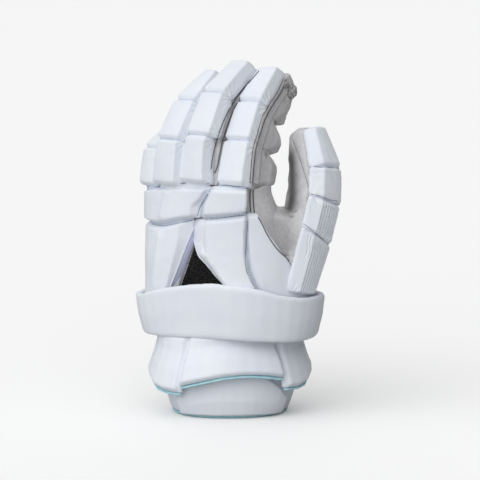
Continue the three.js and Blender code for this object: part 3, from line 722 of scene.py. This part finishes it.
def broad_side(node, away):
    """The direction of the solid's broadest flat side that looks away from the stall."""
    faces = [(np.array(face.normal), face.area) for face in nodes[node].data.polygons]
    best = max(
        (face for face in faces if face[0] @ away > 0),
        key=lambda face: sum(area for normal, area in faces if normal @ face[0] > 0.98),
    )
    return best[0]


def finger_frames(finger, count):
    stall = solid_points(f"stall_{finger}")
    solids = [solid_points(f"{finger}_pad_{i}") for i in range(1, count + 1)]
    middles = [(solid.min(axis=0) + solid.max(axis=0)) / 2 for solid in solids]
    frames = []
    for i, middle in enumerate(middles):
        along = unit(middles[min(i + 1, count - 1)] - middles[max(i - 1, 0)])
        near = stall[np.abs((stall - middle) @ along) < 15 * MM]
        away = middle - (near if len(near) else stall).mean(axis=0)
        out = unit(away) if finger == "thumb" else broad_side(f"{finger}_pad_{i + 1}", away)
        along = unit(along - out * (along @ out))
        frames.append((middle, out, along))
    creases = []
    for i in range(count - 1):
        along = unit(middles[i + 1] - middles[i])
        end = (solids[i] @ along).max()
        start = (solids[i + 1] @ along).min()
        out = unit(frames[i][1] + frames[i + 1][1])
        creases.append((along, (end + start) / 2, out))
    return frames, creases


# Soft forms: crowned pads with gathers at the joints, and puckered, bulging stalls

PAD_CROWN = 0.7 * MM
PAD_UNEVEN = 0.28 * MM
UNEVEN_SIZE = 15 * MM
PAD_DIMPLE = 0.12 * MM
DIMPLE_SIZE = 5 * MM
GATHER_DEPTH = 0.6 * MM
PAD_FILL = 0.45 * MM
FLAP_FILL = 0.6 * MM
GATHER_REACH = 12 * MM
GATHER_FOLDS = 17
PUCKER_DEPTH = 0.3 * MM
PUCKER_REACH = 5 * MM
PUCKER_SIZE = 3.5 * MM
STALL_FOLDS = 19
STALL_FOLD_DEPTH = 0.6 * MM
STALL_FOLD_REACH = 4.5 * MM
STALL_CREASE_DEPTH = 1.4 * MM
STALL_CREASE_WIDTH = 1.6 * MM
GUSSET_ROOM = 5.5 * MM
FOOT_REACH = 1.7 * MM
THUMB_FILL = 3.6 * MM


def dress_pad(pad, place, ends, seed):
    """The ends say how strongly joints gather the leather at the pad's foot and head, from 0 to 1."""
    middle, out, along = place
    across = np.cross(along, out)
    points = points_of(pad)
    normals = normals_of(pad)
    rel = points - middle
    run = rel @ along
    side = rel @ across
    rise = rel @ out
    reach = np.ptp(run) / 2
    half = np.ptp(side) / 2
    run = run - (run.max() + run.min()) / 2
    side = side - (side.max() + side.min()) / 2
    rise = rise - rise.min()
    top = np.clip(normals @ out, 0, 1)
    flank = np.abs(normals @ across)
    height = PAD_FILL + PAD_CROWN * top * (1 - (side / half) ** 2) * (1 - (run / reach) ** 2)
    for sign, strength in zip((-1, 1), ends):
        if not strength:
            continue
        gap = reach - sign * run
        far = np.hypot(gap, rise)
        turn = np.arctan2(rise, gap + 1e-6)
        fold = np.sin(turn * GATHER_FOLDS + seed * 1.7 + 0.8 * soft_noise(points, 9 * MM, seed))
        reachable = np.clip((far - 2 * MM) / (4 * MM), 0, 1) * np.exp(-(far / GATHER_REACH) ** 2)
        height += strength * GATHER_DEPTH * flank ** 0.5 * reachable * fold
        wave = soft_noise(np.stack([side, run * 0.25, rise * 0.3], axis=1), PUCKER_SIZE, seed + 5)
        height += strength * PUCKER_DEPTH * top * np.exp(-(gap / PUCKER_REACH) ** 2) * wave
    height += PAD_UNEVEN * soft_noise(points, UNEVEN_SIZE, seed + 1)
    height += PAD_DIMPLE * soft_noise(points, DIMPLE_SIZE, seed + 2)
    push(pad, height)


def open_gusset(pad, place):
    """Draws the pad's thumb side in, so that the suede between the two fingers shows down to its foot."""
    middle, out, along = place
    across = np.cross(along, out)
    across *= np.sign(across[0])
    points = points_of(pad)
    rel = points - middle
    side = rel @ across
    run = rel @ along
    share = np.clip(side / (np.ptp(side) / 2), -1, 1) * 0.5 + 0.5
    rise = (run - run.min()) / np.ptp(run)
    shape = np.interp(rise, [0, 0.25, 0.7, 1], [0.55, 0.9, 1.0, 0.7])
    set_points(pad, points - across * (GUSSET_ROOM * shape * share)[:, None])


def lengthen(pad, place, reach):
    """Draws the pad's foot towards the knuckles."""
    middle, out, along = place
    points = points_of(pad)
    run = (points - middle) @ along
    share = np.clip(-run / -run.min(), 0, 1) ** 2
    set_points(pad, points - along * (reach * share)[:, None])


def painted_shade_and_spots(piece, lines, reach, strength):
    """Paints shade: marks the piece's points near the lines to be darker, as where shade falls in a hollow or
    crease.
    """
    points = points_of(piece)
    value = np.zeros(len(points))
    for line in lines:
        gap, share = near_line(points, line)
        ends = np.clip(np.minimum(share, 1 - share) / 0.15, 0, 1)
        value = np.maximum(value, strength * np.exp(-(gap / reach) ** 2) * ends)
    layer = piece.data.attributes.get("painted_shade_and_spots") or piece.data.attributes.new("painted_shade_and_spots", "FLOAT", "POINT")
    before = np.zeros(len(points), dtype=np.float32)
    layer.data.foreach_get("value", before)
    layer.data.foreach_set("value", np.maximum(value, before).astype(np.float32))


def pucker(piece, centre, radius, depth, size, seed):
    """Small gathers round a place."""
    points = points_of(piece)
    near = np.exp(-(np.linalg.norm(points - np.array(centre), axis=1) / radius) ** 2)
    push(piece, depth * near * soft_noise(points, size, seed))


def fill_pinches(stall, creases):
    """The thumb's suede runs smoothly past the pads' joints, so the solid's waists are filled out."""
    points = points_of(stall)
    height = np.zeros(len(points))
    for along, place, out in creases:
        gap = points @ along - place
        inward = np.clip(0.5 - normals_of(stall) @ out, 0, 1)
        height = np.maximum(height, THUMB_FILL * inward * np.exp(-(gap / (7 * MM)) ** 2))
    push(stall, height)


def dress_stall(stall, creases, bulges, seed, pinch):
    points = points_of(stall)
    normals = normals_of(stall)
    height = np.zeros(len(points))
    room = np.full(len(points), np.inf)
    outward = unit(sum(out for _, _, out in creases))
    bulge = np.full(len(points), bulges[0])
    for (along, place, out), above in zip(creases, bulges[1:]):
        gap = points @ along - place
        bulge = np.where(gap > 0, above, bulge)
        room = np.minimum(room, np.abs(gap))
        near = points[np.abs(gap) < 3 * MM]
        centre = near.mean(axis=0)
        across = np.cross(along, out)
        turn = np.arctan2((points - centre) @ across, (points - centre) @ out)
        fold = np.sin(turn * STALL_FOLDS + 1.6 * soft_noise(points, 8 * MM, seed))
        height += pinch * STALL_FOLD_DEPTH * np.exp(-np.abs(gap) / STALL_FOLD_REACH) * fold
        height -= pinch * STALL_CREASE_DEPTH * np.exp(-(gap / STALL_CREASE_WIDTH) ** 2)
    palmward = np.clip(0.6 - normals @ outward, 0, 1)
    height += bulge * palmward * (1 - np.exp(-(room / (8 * MM)) ** 2))
    height += 0.5 * MM * soft_noise(points, 11 * MM, seed + 3)
    height += 0.2 * MM * soft_noise(points, 4 * MM, seed + 4)
    push(stall, height)


make_floor()
make_camera()
make_studio()

leather = white_leather()
suede = grey_suede()
knit = black_mesh()
binding = teal_binding()
# Painted shade: darker, lavender-blue copies of the white leather, for the vent's recess wall and for the
# beds deep in the creases
recess = shaded_leather_copy("recess_painted_shade", 18 * MM, 2, (0.44, 0.47, 0.63), (0.54, 0.56, 0.71))
fold = shaded_leather_copy("crease_painted_shade", 9 * MM, 3, (0.50, 0.55, 0.66), (0.62, 0.67, 0.76))
thread = thread_and_shadow_line("dark_thread", 0.7, 3 * MM, (0.075, 0.075, 0.085), (0.13, 0.13, 0.145))
# Painted shadow: the dark blue-grey colour of the lines laid in the creases between the pads
painted_shadow_thread = thread_and_shadow_line("crease_painted_shadow", 0.8, 4 * MM, (0.12, 0.15, 0.21), (0.24, 0.28, 0.36))

made = {}

# Bulges of the suede from each stall's foot to its tip, in millimetres, and the index tip's crease
STALL_BULGES = {
    "index": (3.4, 3.3, 1.2, 0.4),
    "middle": (1.6, 1.6, 1.0),
    "ring": (1.6, 1.6, 1.0),
    "little": (1.0, 1.0, 0.5),
    "thumb": (0.4, 0.4, 0.4, 0.4),
}
TIP_CREASE = 0.52

for order, finger in enumerate((*FINGERS, "thumb")):
    count = 4 if finger == "thumb" else 3
    frames, creases = finger_frames(finger, count)
    for i, place in enumerate(frames, 1):
        node = f"{finger}_pad_{i}"
        fine = finger == "thumb" and i < 3
        pad = remeshed(f"{node}_cover", [node], RIB_VOXEL if fine else PAD_VOXEL)
        smooth(pad, 4)
        if node == "middle_pad_1":
            open_gusset(pad, place)
        if i == 1 and finger in ("index", "middle", "ring"):
            lengthen(pad, place, FOOT_REACH)
        dress_pad(pad, place, (0.5 if i == 1 else 1, 0 if i == count else 1), 10 * order + i)
        made[node] = finish_piece(pad, leather, [node])
    node = f"stall_{finger}"
    if finger == "index":
        along = frames[2][2]
        run = solid_points(node) @ along
        foot = solid_points("index_pad_3") @ along
        creases.append((along, foot.min() + TIP_CREASE * (run.max() - foot.min()), frames[2][1]))
    stall = remeshed(f"{finger}_stall_skin", [node], TIP_VOXEL if finger == "index" else STALL_VOXEL)
    smooth(stall, 8)
    bulges = [bulge * MM for bulge in STALL_BULGES[finger]]
    dress_stall(stall, creases, bulges, 60 + order, 0.0 if finger == "thumb" else 1.0)
    if finger == "thumb":
        fill_pinches(stall, creases)
    made[node] = finish_piece(stall, suede, [node])

HAND_PADS = ["knuckle_pad_outer", "knuckle_pad_inner", "back_pad_outer", "back_pad_inner", "side_panel"]
for order, node in enumerate(HAND_PADS):
    pad = remeshed(f"{node}_cover", [node], PANEL_VOXEL)
    smooth(pad, 5)
    grow(pad, PAD_FILL)
    uneven(pad, 0.4 * MM, 22 * MM, 80 + order)
    uneven(pad, 0.12 * MM, 6 * MM, 90 + order)
    made[node] = finish_piece(pad, leather, [node])

FLAPS = ["cuff_flap_centre", "cuff_flap_outer", "cuff_flap_thumb"]
for order, node in enumerate([*FLAPS, "cuff_front_panel"]):
    pad = remeshed(f"{node}_cover", [node], BAND_VOXEL if node in FLAPS else PAD_VOXEL)
    smooth(pad, 10)
    grow(pad, FLAP_FILL)
    uneven(pad, 0.4 * MM, 24 * MM, 100 + order)
    made[node] = finish_piece(pad, leather, [node])

for order, node in enumerate(("wrist_strap", "wrist_cuff")):
    band = remeshed(f"{node}_cover", [node], CUFF_VOXEL)
    smooth(band, 6)
    uneven(band, 0.4 * MM, 26 * MM, 110 + order)
    made[node] = finish_piece(band, leather, [node])

palm = remeshed("palm_skin", ["palm_body"], SHELL_VOXEL)
smooth(palm, 7)
uneven(palm, 0.4 * MM, 14 * MM, 120)
made["palm_body"] = finish_piece(palm, suede, ["palm_body"])

vent = remeshed("vent_knit", ["vent_mesh"], KNIT_VOXEL)
smooth(vent, 4)
spots = points_of(vent)
rows = np.sin(spots[:, 2] * 2 * math.pi / KNIT_ROW)
loops = np.sin(spots[:, 0] * 2 * math.pi / KNIT_LOOP + np.floor(spots[:, 2] / KNIT_ROW) * math.pi)
push(vent, KNIT_DEPTH * (0.6 * rows + 0.4 * rows * loops))
made["vent_mesh"] = finish_piece(vent, knit, ["vent_mesh"])

for node in ("cuff_edging", "flap_edging_centre", "flap_edging_outer", "flap_edging_thumb"):
    trim = remeshed(f"{node}_binding", [node], TRIM_VOXEL)
    smooth(trim, 4)
    made[node] = finish_piece(trim, binding, [node])

# White leather that runs on under the pads, most of it in painted shade: the pads, and the bridge and sink in
# millimetres

BEDS = {
    "outer_finger_bed": ([f"{finger}_pad_{i}" for finger in ("ring", "little") for i in (1, 2, 3)], 1.9, 0.6),
    "middle_finger_bed": (["middle_pad_2", "middle_pad_3"], 1.0, 0.4),
    "index_finger_bed": ([f"index_pad_{i}" for i in (1, 2, 3)], 1.0, 0.4),
    "thumb_bed": ([f"thumb_pad_{i}" for i in (1, 2, 3, 4)], 1.0, 0.4),
    "knuckle_bed_outer": (["ring_pad_1", "little_pad_1", "knuckle_pad_outer", "knuckle_pad_inner"], 2.2, 0.9),
    "knuckle_bed_inner": (["index_pad_1", "knuckle_pad_inner"], 2.2, 0.9),
    "hand_bed": (HAND_PADS, 0.95, 0.4),
    "flap_bed": (FLAPS, 1.0, 0.35),
}
for name, (pads, bridge, sink) in BEDS.items():
    bed = bed_under(name, pads, bridge * MM, sink * MM)
    # All beds but the flaps' bed, and the middle finger's foot bed below, get the crease's painted shade
    made[name] = finish_piece(bed, leather if name == "flap_bed" else fold)
covers = [made[node].data for node in ("middle_pad_1", "middle_pad_2")]
finish_piece(bed_under("middle_foot_bed", covers, 0.9 * MM, 1.2 * MM), fold)
covers = [made[node].data for node in ("middle_pad_1", "ring_pad_1", "knuckle_pad_outer")]
finish_piece(bed_under("finger_web", covers, 1.6 * MM, 1.8 * MM), leather)

# Suede that closes the gaps between the stalls' feet on the palm side

feet = ["stall_middle", "stall_ring", "stall_little", "palm_body"]
finish_piece(bed_under("palm_web", feet, 4.0 * MM, 0.9 * MM, WEB_VOXEL, WEB_SHARE), suede)

# Vent: the leather walls of the recess down to the black mesh, and their piping

VENT_LEFT = [(197, 219), (193, 229), (186, 246), (178, 267), (169, 290)]
MESH_LEFT = [(200, 219), (195, 232), (195, 243), (190.5, 256), (186, 269), (178.5, 291)]
VENT_RIGHT = [(205, 218), (204, 228), (203.5, 240), (205, 253), (213, 267), (226, 288)]
MESH_RIGHT = [(198, 219), (194, 231), (195.5, 244), (199, 255.5), (209, 267), (224, 287)]

HAND_PARTS = [
    "back_pad_outer", "back_pad_inner", "vent_mesh", "knuckle_pad_outer", "knuckle_pad_inner", "palm_body",
]
hand = tree_of([made[node] for node in HAND_PARTS])
WALL_ROWS = 60
WALL_COLUMNS = 9
WALL_THICK = 0.9 * MM


def wall_between(name, high, low, lift_high, lift_low):
    """A leather wall from a line on the pad down to a line on the mesh."""
    top = evened(lifted(trace(high, hand, 6), lift_high)[0], WALL_ROWS)
    low = evened(lifted(trace(low, hand, 6), lift_low)[0], WALL_ROWS)
    share = np.linspace(0, 1, WALL_COLUMNS)[None, :, None]
    grid = top[:, None] * (1 - share) + low[:, None] * share
    ahead = np.gradient(grid, axis=0)
    beside = np.gradient(grid, axis=1)
    normal = np.cross(ahead, beside)
    normal /= np.linalg.norm(normal, axis=2)[:, :, None]
    back, _, _ = view_directions()
    normal *= np.sign((normal @ np.array(back)).mean())
    round_off = np.sin(math.pi * share) * 0.6 * MM
    return slab(name, grid + normal * round_off, grid + normal * (round_off - WALL_THICK))


# The outer wall gets the recess's painted shade; the inner wall is plain white leather
wall = wall_between("vent_wall_outer", VENT_LEFT, MESH_LEFT, 0.2 * MM, 0.6 * MM)
finish_piece(wall, recess)
wall = wall_between("vent_wall_inner", VENT_RIGHT, MESH_RIGHT, 0.2 * MM, 0.9 * MM)
finish_piece(wall, leather)
left_line = trace(VENT_LEFT, hand, 6)
right_line = trace(MESH_RIGHT, hand, 6)
piping = tubes("vent_piping", [lifted(left_line, 0.5 * MM), lifted(right_line, 1.3 * MM)], 0.55 * MM)
finish_piece(piping, leather)

# Seams: dark piping where white leather meets suede

glove = tree_of([made[node] for node in made if node != "wrist_strap"])
SEAMS = {
    "index_side_upper": [
        (283.5, 78), (278, 91), (269, 105), (262, 118), (258, 132), (253.5, 147), (251.5, 163), (250, 183),
    ],
    "index_side_inner": [
        (286, 80), (281, 92), (272, 106), (265, 119), (260.5, 133), (256, 148), (254, 163), (252.5, 183),
    ],
    "gusset_outer": [
        (259, 71), (249, 83), (240, 93), (231, 106), (224, 120), (219, 133), (214.5, 148), (212, 160),
        (211, 169),
    ],
    "gusset_inner": [
        (238.5, 101), (234, 110), (228.5, 122), (224, 136), (221, 147), (219, 158), (217, 168), (214.5, 173),
    ],
    "panel_edge": [(258, 217), (262, 224), (268, 236), (277, 249), (285, 257), (290, 262)],
}
welt_inner = [(across + 6, down + 1) for across, down in SEAMS["index_side_inner"]]
welt = sheet_on(
    "index_welt", SEAMS["index_side_upper"], welt_inner, glove,
    lift=0.8 * MM, thickness=1.6 * MM, columns=8, rounds=6,
)
made["welt"] = finish_piece(welt, suede)
CROTCH_OUTER = [(276, 209), (273, 216), (274, 230), (278, 246), (284, 261)]
CROTCH_INNER = [(299, 208.5), (303, 214), (304, 224), (300, 241), (295, 257)]
grey_parts = tree_of([made["palm_body"], made["stall_thumb"], made["thumb_bed"]])
crotch = sheet_on(
    "thumb_crotch", CROTCH_OUTER, CROTCH_INNER, grey_parts,
    lift=1.0 * MM, thickness=1.2 * MM, columns=22, rounds=18, edge=-0.3 * MM,
)
made["crotch"] = finish_piece(crotch, suede)
glove = tree_of([made[node] for node in made if node != "wrist_strap"])
FOLDS = [
    [(280, 207.5), (288, 211), (294, 211.5), (299, 208)],
    [(285, 214), (291, 216.5), (296, 216.5)],
]
for corners in FOLDS:
    line, _ = trace(corners, glove, 4)
    for piece in (made["crotch"], made["palm_body"], made["stall_thumb"]):
        carve(piece, line, 1.6 * MM, 1.3 * MM, 0.25)
THUMB_SEAM = [(291, 136), (295, 146), (299, 157), (303, 169), (307, 182), (310, 194)]
thumb_seam = trace(THUMB_SEAM, glove, 6)
carve(made["stall_thumb"], thumb_seam[0], 1.3 * MM, 0.8 * MM, 0.05)
rows = [lifted(trace(corners, glove, 6), 0.15 * MM) for corners in SEAMS.values()]
INDEX_FOOT = [[(250.2, 190), (250, 200), (250.6, 212)], [(253, 190), (253.3, 201), (254.3, 213)]]
palm_only = tree_of([made["palm_body"]])
rows += [lifted(trace(corners, palm_only, 6), 0.25 * MM) for corners in INDEX_FOOT]
finish_piece(tubes("palm_seam_piping", rows, 0.55 * MM), thread)
HOLLOW = [(289, 142), (290.5, 156), (292, 172), (292, 188), (291, 200), (289, 210), (287, 220)]
hollow = [trace(HOLLOW, glove, 6)[0]]
# Painted shade: the suede darker along the folds of the index stall and of the thumb's crotch, where shade
# falls in the creases
SHADED_CREASES = {
    "stall_index": [
        [(262, 158), (267, 153.5), (274, 156)],
        [(270, 121), (276, 124), (282, 125)],
        [(250, 186.5), (260, 187.5), (273, 186)],
    ],
    "crotch": FOLDS,
}
for node, creases in SHADED_CREASES.items():
    painted_shade_and_spots(made[node], [trace(corners, glove, 4)[0] for corners in creases], 2.0 * MM, 0.62)
# Painted shade: the suede darker in the thumb's hollow and, more faintly, down the dip of the crotch below it
crotch_dip, _ = trace([(279, 216), (283, 230), (287, 243), (291, 255)], glove, 6)
for node in ("stall_thumb", "crotch", "palm_body", "thumb_bed"):
    painted_shade_and_spots(made[node], hollow, 9.0 * MM, 0.95)
for node in ("crotch", "palm_body"):
    painted_shade_and_spots(made[node], [crotch_dip], 15 * MM, 0.34)

# Index tip: a curled hood with puckered, stitched folds below it
tip = tree_of([made["stall_index"]])


def spot_on(tree, across, down):
    return tree.ray_cast(*sight(across, down))[0]


def draw_in(piece, centre, radius, shift):
    """Moves the piece's points near the centre by the shift, fading out with distance."""
    points = points_of(piece)
    near = np.exp(-(np.linalg.norm(points - centre, axis=1) / radius) ** 2)
    set_points(piece, points + near[:, None] * shift)


def tip_hood(name, across, down, size, deep, sink, seed):
    """A curled hood of gathered suede where the stall's tip is drawn together."""
    back, right, up = (np.array(direction) for direction in view_directions())
    place = np.array(spot_on(tip, across - 2, down)) + right * 2 * MM - back * deep * sink
    work = bmesh.new()
    bmesh.ops.create_icosphere(work, subdivisions=5, radius=1)
    mesh = bpy.data.meshes.new(name)
    work.to_mesh(mesh)
    work.free()
    hood = new_object(name, mesh)
    ball = points_of(hood)
    turn = np.arctan2(ball[:, 1], ball[:, 0])
    fade = 1 - ball[:, 2] ** 2
    gather = 1 + 0.05 * fade * np.sin(7 * turn + 2.2 * ball[:, 2] + seed) + 0.04 * soft_noise(ball, 0.5, seed)
    ball = ball * gather[:, None]
    shape = ball[:, :1] * right * size + ball[:, 1:2] * up * size * 1.25 + ball[:, 2:3] * back * deep
    set_points(hood, place + shape)
    push(hood, 0.7 * MM * soft_noise(points_of(hood), 1.6 * MM, seed + 5))
    # The hood darker in uneven spots, a quarter to three quarters of the way towards near-black
    dark_spot_layer = hood.data.attributes.new("painted_shade_and_spots", "FLOAT", "POINT")
    spots = 0.25 + 0.5 * np.clip(0.5 + 0.8 * soft_noise(points_of(hood), 1.2 * MM, seed + 9), 0, 1)
    dark_spot_layer.data.foreach_set("value", spots.astype(np.float32))
    return finish_piece(hood, suede)


tip_hood("index_tip_hood", 284, 84, 3.7 * MM, 6.5 * MM, 0.6, 1)
tip_hood("index_tip_curl", 290.5, 91, 5.9 * MM, 7.0 * MM, 0.45, 4)
corner = np.array(spot_on(tip, 284, 120)) - np.array(view_directions()[0]) * 4 * MM
draw_in(made["stall_index"], corner, 8 * MM, -np.array(view_directions()[1]) * 3.4 * MM)
swell(made["stall_index"], spot_on(tip, 284.5, 121.5), 5.0 * MM, -4.6 * MM)
swell(made["stall_index"], spot_on(tip, 287, 107), 6.0 * MM, 1.4 * MM)
pucker(made["stall_index"], spot_on(tip, 288, 92), 9 * MM, 0.9 * MM, 2.6 * MM, 131)
TIP_FOLDS = [
    [(288, 79), (289.5, 87), (287, 95)],
    [(278, 92), (284, 92.5), (290, 98), (292, 101)],
    [(276, 97), (282, 96.5), (287, 100.5), (289, 106)],
]
for corners in TIP_FOLDS:
    carve(made["stall_index"], trace(corners, tip, 4)[0], 1.1 * MM, 1.3 * MM, 0.15)
SUEDE_FOLDS = [
    [(252, 187), (258, 186), (265, 184.5), (272, 185)],
    [(264, 156), (268, 158), (272, 155.5)],
    [(270, 121.5), (275, 122.5), (281, 121)],
]
tip = tree_of([made["stall_index"], made["palm_body"]])
folds = [trace(corners, tip, 4) for corners in SUEDE_FOLDS]
for places, _ in folds:
    carve(made["stall_index"], places, 1.2 * MM, 1.4 * MM, 0.1)
# Painted shade: the suede darker along the carved folds of the index stall
painted_shade_and_spots(made["stall_index"], [places for places, _ in folds], 1.6 * MM, 0.6)
rows = []
tip = tree_of([made["stall_index"], made["palm_body"]])
for corners in SUEDE_FOLDS:
    above = [(across, down - 3) for across, down in corners]
    rows += stitches(trace(above, tip, 6), 2.2 * MM, 1.4 * MM, 0.25 * MM)
finish_piece(tubes("index_stitches", rows, 0.24 * MM, 5), suede)

# Thumb: ribbed insets in the two lowest pads
thumb = tree_of([made[f"thumb_pad_{i}"] for i in (1, 2, 3, 4)])


def joint_at(across):
    """Where the picture shows the joint between the two ribbed pads."""
    return 221 + (across - 300) * 0.77


for k in range(7):
    across = 325 + 2.1 * k
    foot = min(238, joint_at(across - 6) - 4)
    corners = [(across, 205.5), (across - 2.5, (205.5 + foot) / 2), (across - 5.5, foot)]
    carve(made["thumb_pad_2"], trace(corners, thumb, 2)[0], 0.62 * MM, 0.75 * MM, 0.06)
for k in range(8):
    across = 309.5 + 2.5 * k
    head = joint_at(across) + 5.5
    corners = [(across, head), (across - 1.8, head + 8), (across - 1.4, head + 15), (across - 3.6, head + 23)]
    carve(made["thumb_pad_1"], trace(corners, thumb, 2)[0], 0.66 * MM, 0.75 * MM, 0.06)

# Worn creases in the leather of the pads
WEAR = {
    "thumb_pad_4": [[(315, 164.5), (320, 162), (325, 160.5)], [(328, 152), (333, 159), (336, 163)]],
    "thumb_pad_3": [[(330, 174), (334, 178), (337, 183)], [(314, 174), (317, 173), (321, 174)]],
    "thumb_pad_2": [[(312, 197), (316, 200), (319, 206)]],
    "index_pad_2": [[(262, 100), (264, 104), (266, 107)], [(240, 106), (246, 101)]],
    "middle_pad_2": [[(214, 132), (210, 130), (207, 131)], [(213, 136), (208, 135)]],
    "ring_pad_3": [[(197, 105), (193, 100), (189, 97)], [(198, 102), (195, 97)]],
    "index_pad_3": [[(252, 82), (258, 79), (262, 77)], [(250, 88), (257, 87)]],
}
for node, marks in WEAR.items():
    tree = tree_of([made[node]])
    for corners in marks:
        carve(made[node], trace(corners, tree, 2)[0], 0.9 * MM, 0.5 * MM, 0.3)

# Ridges along the outer side of the back of the hand
RIDGES = {
    "knuckle_pad_outer": ([(168, 188), (164, 203), (160, 222)], 4.0, 1.5),
    "back_pad_outer": ([(160, 230), (157, 250), (155, 268), (152, 288)], 4.0, 1.5),
}
for node, (corners, width, rise) in RIDGES.items():
    carve(made[node], trace(corners, tree_of([made[node]]), 6)[0], width * MM, -rise * MM, 0.12)

# Stitches beside the side panel and along the thumb's suede
PANEL_SEAM = [(248, 220), (247, 232), (246, 248), (245, 262), (247, 272), (251, 281), (256, 290)]
rows = stitches(trace(PANEL_SEAM, glove, 8), 2.6 * MM, 1.8 * MM, 0.25 * MM)
finish_piece(tubes("panel_stitches", rows, 0.28 * MM, 5), thread)
rows = stitches(thumb_seam, 2.4 * MM, 1.5 * MM, 0.2 * MM)
finish_piece(tubes("thumb_stitches", rows, 0.22 * MM, 5), thread)

# Painted shadow: thin dark lines laid at the foot of the creases between the pads, where shade falls
hand = tree_of(made.values())
CREASES = [
    [(147, 221.5), (154, 224.5), (163, 226), (172, 224.5), (185, 222), (198, 219)],
    [(203, 219.5), (215, 219), (228, 217), (240, 215.5), (247, 216)],
    [(154, 187.5), (160, 186), (165, 184.5)],
    [(180, 183.5), (190, 182.5), (200, 184), (209, 183.5)],
    [(220, 186), (228, 185), (236, 187), (244, 186)],
    [(210, 190), (205, 199), (200, 207), (197, 217)],
    [(314, 166.5), (324, 167.5), (337, 168)],
    [(311, 194), (320, 196), (330, 200), (339, 201)],
    [(303.5, 223.5), (312, 230), (320, 237), (327, 243)],
]
lines = [lifted(trace(corners, hand, 8), -0.05 * MM) for corners in CREASES]
finish_piece(tubes("crease_painted_shadow_lines", lines, 0.38 * MM, 5), painted_shadow_thread)
